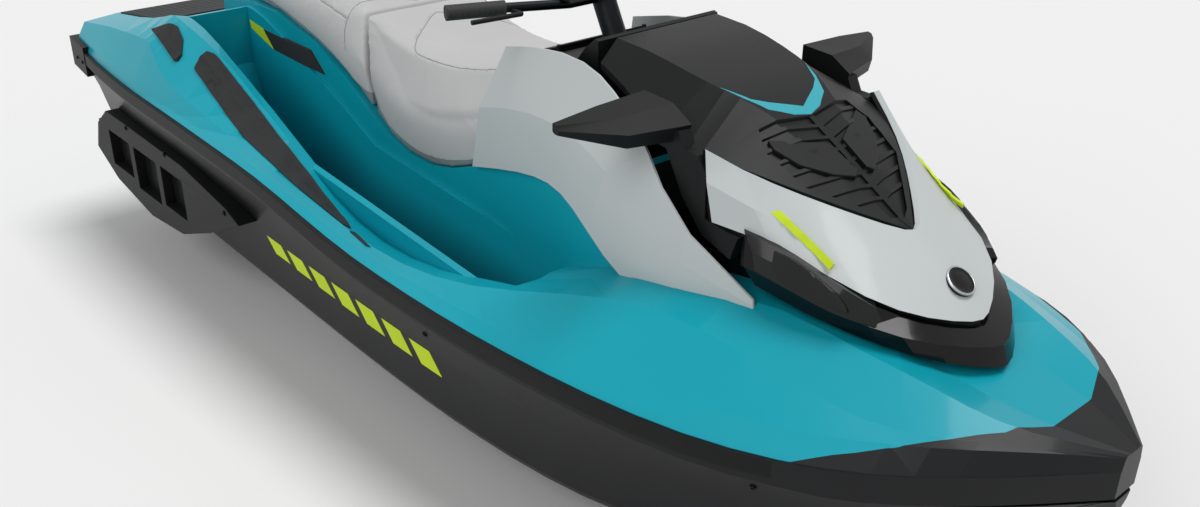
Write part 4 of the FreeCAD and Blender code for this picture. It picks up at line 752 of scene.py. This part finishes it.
# %% Nose disc
disc_axis = Vector((0.576, 0.0, 0.817))
disc_place = dropped(nose_surface, (1.234, 0.0, 0.492), -disc_axis, 0.1)[0]
disc_section = [(0.031, -0.006), (0.031, 0.0035), (0.029, 0.0045), (0.0275, 0.0045),
                (0.0265, 0.0038), (0.018, 0.0052), (0.008, 0.0058), (0.0004, 0.0060)]
points, faces = turned(disc_section, disc_place, disc_axis, 48)
new_piece("nose_disc", points, faces, black_abs, "hood")
ring_section = [(0.0312, 0.0005), (0.0318, 0.0010), (0.0318, 0.0036), (0.0300, 0.0050),
                (0.0282, 0.0050), (0.0280, 0.0040), (0.0300, 0.0030)]
points, faces = turned(ring_section, disc_place, disc_axis, 48)
new_piece("nose_disc_ring", points, faces[:-2], ground_steel, "hood")
print("disc at", [round(v, 3) for v in disc_place])

# %% [markdown]
# ## The saddle
#
# The saddle is two cushions: the driver's, fixed to the deck, and the passengers', which lifts
# off. Each is firm foam under a sewn vinyl cover that the foam keeps taut. The construction only
# holds a plain block for each. The block is remeshed into an even skin, its edges are eased, and a
# cloth simulation then lets the foam press the cover outward for twenty frames, held at the base
# and at the joint. No point may move more than 6 mm, so the cushions keep their size.


# %% Cushion helpers
cloth_frames = 20


def baked(piece):
    """The piece's mesh as its modifiers leave it, with the modifiers gone."""
    graph = bpy.context.evaluated_depsgraph_get()
    mesh = bpy.data.meshes.new_from_object(piece.evaluated_get(graph))
    piece.modifiers.clear()
    piece.data = mesh
    return mesh


def eased_block(name, node_name, voxel=0.007, rounds=14):
    """A node's block as an even skin with eased edges."""
    piece = bpy.data.objects.new(name, placed_mesh(node_name))
    bpy.context.collection.objects.link(piece)
    modifier(piece, "REMESH", mode="VOXEL", voxel_size=voxel)
    modifier(piece, "SMOOTH", factor=0.5, iterations=rounds)
    baked(piece)
    return piece


def pressed_out(piece, held_ways, cap=0.006, pressure=4.0, facing=0.6):
    """The foam's push on the cover: a short cloth simulation, capped, then applied."""
    start = [vertex.co.copy() for vertex in piece.data.vertices]
    group = piece.vertex_groups.new(name="held")
    held = [vertex.index for vertex in piece.data.vertices
            if any(vertex.normal.dot(Vector(way)) > facing for way in held_ways)]
    group.add(held, 1.0, "REPLACE")
    cloth = piece.modifiers.new("cover", "CLOTH")
    cloth.settings.use_pressure = True
    cloth.settings.uniform_pressure_force = pressure
    cloth.settings.vertex_group_mass = "held"
    cloth.settings.effector_weights.gravity = 0.0
    cloth.settings.quality = 4
    cloth.point_cache.frame_end = cloth_frames
    for frame_number in range(1, cloth_frames + 1):
        bpy.context.scene.frame_set(frame_number)
    mesh = baked(piece)
    farthest = 0.0
    for vertex, old in zip(mesh.vertices, start):
        move = vertex.co - old
        farthest = max(farthest, move.length)
        if move.length > cap:
            vertex.co = old + move.normalized() * cap
    bpy.context.scene.frame_set(1)
    return farthest


bpy.context.scene.frame_start = 1
bpy.context.scene.frame_end = cloth_frames
front_cushion = eased_block("driver_cushion", "seat_front")
rear_cushion = eased_block("passenger_cushion", "seat_rear")
print("driver cover pushed", round(pressed_out(front_cushion, [(0, 0, -1), (-1, 0, 0)]), 4))
print("passenger cover pushed", round(pressed_out(rear_cushion, [(0, 0, -1), (1, 0, 0)]), 4))
print("cushion skins:", len(front_cushion.data.polygons), len(rear_cushion.data.polygons))

# %% [markdown]
# ## Seams
#
# The cover is sewn from panels. Each seam pulls the vinyl into a shallow groove with a slim welt
# in it and a row of stitches beside it. The seam is a line of traced points, carried onto the
# cushion's skin, which is pressed in by up to 3 mm within 7 mm of the line. The lowest band of
# the cover is a darker vinyl skirt with a slight teal tint, and that tint is a painted reflection
# of the teal deck.


# %% Seam helpers
def spaced(line, gap=0.004):
    """A traced line as evenly spaced points, rounded at its corners."""
    points = [Vector(point) for point in line]
    for repeat in range(2):
        cut = [points[0]]
        for one, two in zip(points, points[1:]):
            cut += [one.lerp(two, 0.25), one.lerp(two, 0.75)]
        points = cut + [points[-1]]
    row = [points[0]]
    for one, two in zip(points, points[1:]):
        steps = max(1, round((two - one).length / gap))
        row += [one.lerp(two, k / steps) for k in range(1, steps + 1)]
    return row


def on_skin(mesh, row):
    """The row's points on the mesh, with their normals."""
    tree = BVHTree.FromPolygons([vertex.co for vertex in mesh.vertices],
                                [list(face.vertices) for face in mesh.polygons])
    return [tree.find_nearest(point)[:2] for point in row]


def pressed_in(mesh, rows, depth=0.003, reach=0.007):
    """The groove along each row."""
    places = [place for row in rows for place, normal in row]
    tree = KDTree(len(places))
    for index, place in enumerate(places):
        tree.insert(place, index)
    tree.balance()
    moves = []
    for vertex in mesh.vertices:
        far = tree.find(vertex.co)[2]
        if far < reach:
            share = 1 - far / reach
            moves.append((vertex.index, vertex.normal * -depth * share * share))
    for index, move in moves:
        mesh.vertices[index].co += move


def bead(row, radius, sink, sides=6):
    """A thin tube along a row."""
    points = []
    faces = []
    for k, (place, normal) in enumerate(row):
        ahead = row[min(k + 1, len(row) - 1)][0] - row[max(k - 1, 0)][0]
        side = ahead.cross(normal).normalized()
        for j in range(sides):
            angle = 2 * math.pi * j / sides
            points.append(place - normal * sink + side * radius * math.cos(angle)
                          + normal * radius * math.sin(angle))
        if k:
            for j in range(sides):
                after = (j + 1) % sides
                faces.append([(k - 1) * sides + j, (k - 1) * sides + after, k * sides + after,
                              k * sides + j])
    faces.append(list(reversed(range(sides))))
    faces.append([len(points) - sides + j for j in range(sides)])
    return points, faces


def stitches(row, beside=0.0055, long=0.0045, pitch=2, thick=0.0007, proud=0.0002):
    """Short raised stitches beside a row."""
    parts = []
    for k in range(1, len(row) - 1, pitch):
        place, normal = row[k]
        ahead = (row[k + 1][0] - row[k - 1][0]).normalized()
        side = ahead.cross(normal).normalized()
        centre = place + side * beside + normal * proud
        ends = [centre - ahead * long / 2, centre + ahead * long / 2]
        ring = [side * thick, normal * thick, -side * thick, -normal * thick]
        points = [ends[0]] + [centre + offset for offset in ring] + [ends[1]]
        faces = [[0, 2, 1], [0, 3, 2], [0, 4, 3], [0, 1, 4],
                 [5, 1, 2], [5, 2, 3], [5, 3, 4], [5, 4, 1]]
        parts.append((points, faces))
    return gathered(parts)


def skirt_edge(mesh, height=0.022, width=0.03):
    """The height of the skirt's upper edge at a place along the cushion."""
    low = {}
    for vertex in mesh.vertices:
        key = round(vertex.co.x / width)
        low[key] = min(low.get(key, math.inf), vertex.co.z)
    keys = sorted(low)
    eased = {}
    for key in keys:
        near = [low[k] for k in keys if abs(k - key) < 3]
        eased[key] = sum(near) / len(near)

    def edge(x):
        before = min(max(math.floor(x / width), keys[0]), keys[-1] - 1)
        share = min(max(x / width - before, 0), 1)
        return eased[before] * (1 - share) + eased[before + 1] * share + height

    return edge


print("seam helpers ready")


# %% Sew the covers
def sewn(piece, name, node_name, lines, body, flank=0.1, snap=0.0022):
    """A finished cushion: one subdivision, grooves, welts, stitches and the darker skirt.

    The skirt covers what lies further than flank from the centreline, and its teal tint is a
    painted reflection of the deck. Corners within snap of its edge move onto it, so that the edge
    runs smooth.
    """
    modifier(piece, "SUBSURF", levels=1, render_levels=1)
    mesh = baked(piece)
    lines = [[(x, side * y, z) for x, y, z in line] for line in lines for side in (1, -1)]
    rows = [on_skin(mesh, spaced(line)) for line in lines]
    pressed_in(mesh, rows)
    rows = [on_skin(mesh, [place for place, normal in row]) for row in rows]
    mesh.materials.clear()
    mesh.materials.append(grey_vinyl)
    mesh.materials.append(dark_vinyl_and_painted_reflection)
    edge = skirt_edge(mesh)
    for vertex in mesh.vertices:
        gap = edge(vertex.co.x) - vertex.co.z
        if abs(vertex.co.y) > flank and abs(gap) < snap:
            vertex.co.z += gap
    for face in mesh.polygons:
        face.use_smooth = True
        centre = face.center
        # Faces low on the flanks take the skirt's darker vinyl, whose teal tint is a painted
        # reflection of the deck.
        face.material_index = int(abs(centre.y) > flank and centre.z < edge(centre.x))
    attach(piece, body)
    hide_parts(node_name)
    welts = [bead(row, radius=0.0016, sink=0.0006) for row in rows]
    welt = new_piece(name + "_welt", *gathered(welts), dark_vinyl_and_painted_reflection, body)
    sewing = new_piece(name + "_stitches", *gathered([stitches(row) for row in rows]), thread,
                       body, smooth=False)
    print(piece.name, "faces", len(mesh.polygons), "with", welt.name, "and", sewing.name)


front_lines = [
    [(-0.452, 0.000, 0.640), (-0.430, 0.041, 0.630), (-0.347, 0.137, 0.610),
     (-0.301, 0.180, 0.600), (-0.255, 0.181, 0.596), (-0.143, 0.169, 0.598),
     (-0.084, 0.160, 0.607), (-0.007, 0.146, 0.621), (0.050, 0.128, 0.640)]]
rear_lines = [
    [(-0.530, 0.000, 0.680), (-0.573, 0.104, 0.668), (-0.585, 0.165, 0.640),
     (-0.590, 0.205, 0.600), (-0.577, 0.222, 0.540)],
    [(-0.590, 0.190, 0.620), (-0.750, 0.185, 0.640), (-0.950, 0.180, 0.665),
     (-1.120, 0.165, 0.690)],
    [(-0.860, 0.000, 0.690), (-0.875, 0.100, 0.680), (-0.885, 0.182, 0.655)]]
sewn(front_cushion, "driver", "seat_front", front_lines, "craft")
sewn(rear_cushion, "passenger", "seat_rear", rear_lines, "passenger_seat")

# %% [markdown]

# %% [markdown]
# ## Round edges on every moulding
#
# No moulded part has a knife edge: a tool leaves a radius of about a millimetre or more, and that
# radius is what draws the bright line along each crease. The frame's meshes stay as they are.
# Modifiers weld their corners, merge the triangles of each flat facet, bevel the edges that are
# sharper than the moulding's crease angle and weight the normals by area. So the facets stay crisp
# while the long, shallow curves of the hull flow.

# %% Round the edges
edge_radius = {"deck": 0.004, "hull": 0.003, "bow_cap": 0.003, "side_panel_port": 0.003,
               "side_panel_starboard": 0.003, "nose_panel": 0.003, "front_fascia": 0.002,
               "hood_top": 0.0015, "mirror_port": 0.006, "mirror_starboard": 0.006,
               "handlebar_pad": 0.006, "sponson_port": 0.002, "sponson_starboard": 0.002}
usual_radius = 0.0012
fine_nodes = ("bow_eye", "drive_shaft", "impeller", "jet_pump", "trim_ring", "steering_nozzle",
              "intake_grate", "ladder_brackets", "levers", "glovebox_lid")
fine_radius = 0.0005
crease_degrees = {"deck": 6, "hull": 8, "bow_cap": 6, "nose_panel": 24, "side_panel_port": 14,
                  "side_panel_starboard": 14, "hood_top": 12, "front_fascia": 12,
                  "mirror_port": 30, "mirror_starboard": 30}
usual_crease = 24
flat_degrees = 0.2
weld_gap = 0.00001
for name, node in nodes.items():
    node.data.normals_split_custom_set([(0.0, 0.0, 0.0)] * len(node.data.loops))
    for face in node.data.polygons:
        face.use_smooth = True
    modifier(node, "WELD", merge_threshold=weld_gap)
    modifier(node, "DECIMATE", decimate_type="DISSOLVE", angle_limit=math.radians(flat_degrees))
    radius = fine_radius if name in fine_nodes else edge_radius.get(name, usual_radius)
    crease = math.radians(crease_degrees.get(name, usual_crease))
    modifier(node, "BEVEL", width=radius, segments=2, limit_method="ANGLE", angle_limit=crease,
             miter_outer="MITER_ARC")
    modifier(node, "WEIGHTED_NORMAL", weight=60, keep_sharp=False)
print("rounded", len(nodes), "nodes")

# %% [markdown]
# ## Floor and light
#
# The studio is a plain pale floor with a broad key lamp above the port bow, a weaker fill on the
# other side and a pale world. Both lamps stand far off, so the floor is evenly lit. The camera and
# the rays that glossy and clear surfaces send out see a brighter world than the one that lights
# the craft, so the background is pale and the shadows stay.

# %% Studio
keel_depth = cad_box[0][2]
below_keel = 0.002
floor_size = 40.0
mesh = bpy.data.meshes.new("floor")
half = floor_size / 2
mesh.from_pydata([(-half, -half, 0), (half, -half, 0), (half, half, 0), (-half, half, 0)], [],
                 [(0, 1, 2, 3)])
floor = bpy.data.objects.new("floor", mesh)
floor.location.z = keel_depth - below_keel
bpy.context.collection.objects.link(floor)
floor_paint, tree, place = new_material("pale_floor")
matt = add_node(tree, "ShaderNodeBsdfDiffuse", {"Color": linear("#F2F2F2")})
add_node(tree, "ShaderNodeOutputMaterial", links={"Surface": matt.outputs["BSDF"]})
floor.data.materials.append(floor_paint)

world_light = 0.26
world_seen = 0.85
world = bpy.data.worlds.new("studio")
bpy.context.scene.world = world
world.use_nodes = True
world_tree = world.node_tree
world_tree.nodes.clear()
rays = add_node(world_tree, "ShaderNodeLightPath")
seen = add_node(world_tree, "ShaderNodeMath", {"operation": "MAXIMUM"},
                {0: rays.outputs["Is Camera Ray"], 1: rays.outputs["Is Glossy Ray"]})
seen = add_node(world_tree, "ShaderNodeMath", {"operation": "MAXIMUM"},
                {0: seen.outputs[0], 1: rays.outputs["Is Transmission Ray"]})
strength = add_node(world_tree, "ShaderNodeMix",
                    {"data_type": "FLOAT", 2: world_light, 3: world_seen}, {0: seen.outputs[0]})
sky = add_node(world_tree, "ShaderNodeBackground", {"Color": (1, 1, 1, 1)},
               {"Strength": strength.outputs[0]})
add_node(world_tree, "ShaderNodeOutputWorld", links={"Surface": sky.outputs["Background"]})


def soft_lamp(name, place, width, power):
    """A broad, far lamp that lights craft and floor alike, aimed at the origin."""
    light = bpy.data.lights.new(name, "SUN")
    light.energy = power
    light.angle = math.radians(width)
    lamp = bpy.data.objects.new(name, light)
    lamp.location = place
    lamp.rotation_euler = (-Vector(place)).to_track_quat("-Z", "Y").to_euler()
    bpy.context.collection.objects.link(lamp)


soft_lamp("key", (0.7, 0.9, 4.0), 28, 1.75)
soft_lamp("fill", (0.6, -4.0, 3.0), 40, 1.0)
print("studio: floor at", round(keel_depth, 3))

# %% [markdown]
# ## The camera
#
# The camera stands where the photographer stood: ahead of the bow on the starboard side, looking
# down. Its place, its turn and its focal length come from fitting a camera to points that show in
# the photograph. Heights were measured from the keel, and the frame's origin lies in the water
# plane above it.

# %% Camera
keel_to_water = 0.240
camera_place = Vector((2.2395, -1.7927, 1.764 - keel_to_water))
azimuth, elevation, roll = (math.radians(angle) for angle in (48.2329, 26.8685, 0.82))
image_width = 1200
focal_pixels = 1189.08
back = Vector((math.sin(azimuth) * math.cos(elevation), -math.cos(azimuth) * math.cos(elevation),
               math.sin(elevation)))
right = Vector((math.cos(azimuth), math.sin(azimuth), 0))
up = back.cross(right)
tilted_right = right * math.cos(roll) + up * math.sin(roll)
tilted_up = up * math.cos(roll) - right * math.sin(roll)
optics = bpy.data.cameras.new("camera")
optics.sensor_width = 36.0
optics.lens = focal_pixels / image_width * optics.sensor_width
camera = bpy.data.objects.new("camera", optics)
turn = Matrix((tilted_right, tilted_up, back)).transposed()
camera.matrix_world = Matrix.Translation(camera_place) @ turn.to_4x4()
bpy.context.collection.objects.link(camera)
bpy.context.scene.camera = camera
bpy.context.scene.view_settings.view_transform = "Standard"
print("camera lens", round(optics.lens, 2), "mm")

# %% [markdown]
# ## Sizes
#
# The last step prints the size of the bare construction and hands the scene over.

# %% Sizes, then the end
bpy.context.view_layer.update()
print("craft", [round(high - low, 3) for low, high in zip(*cad_box)], "m")
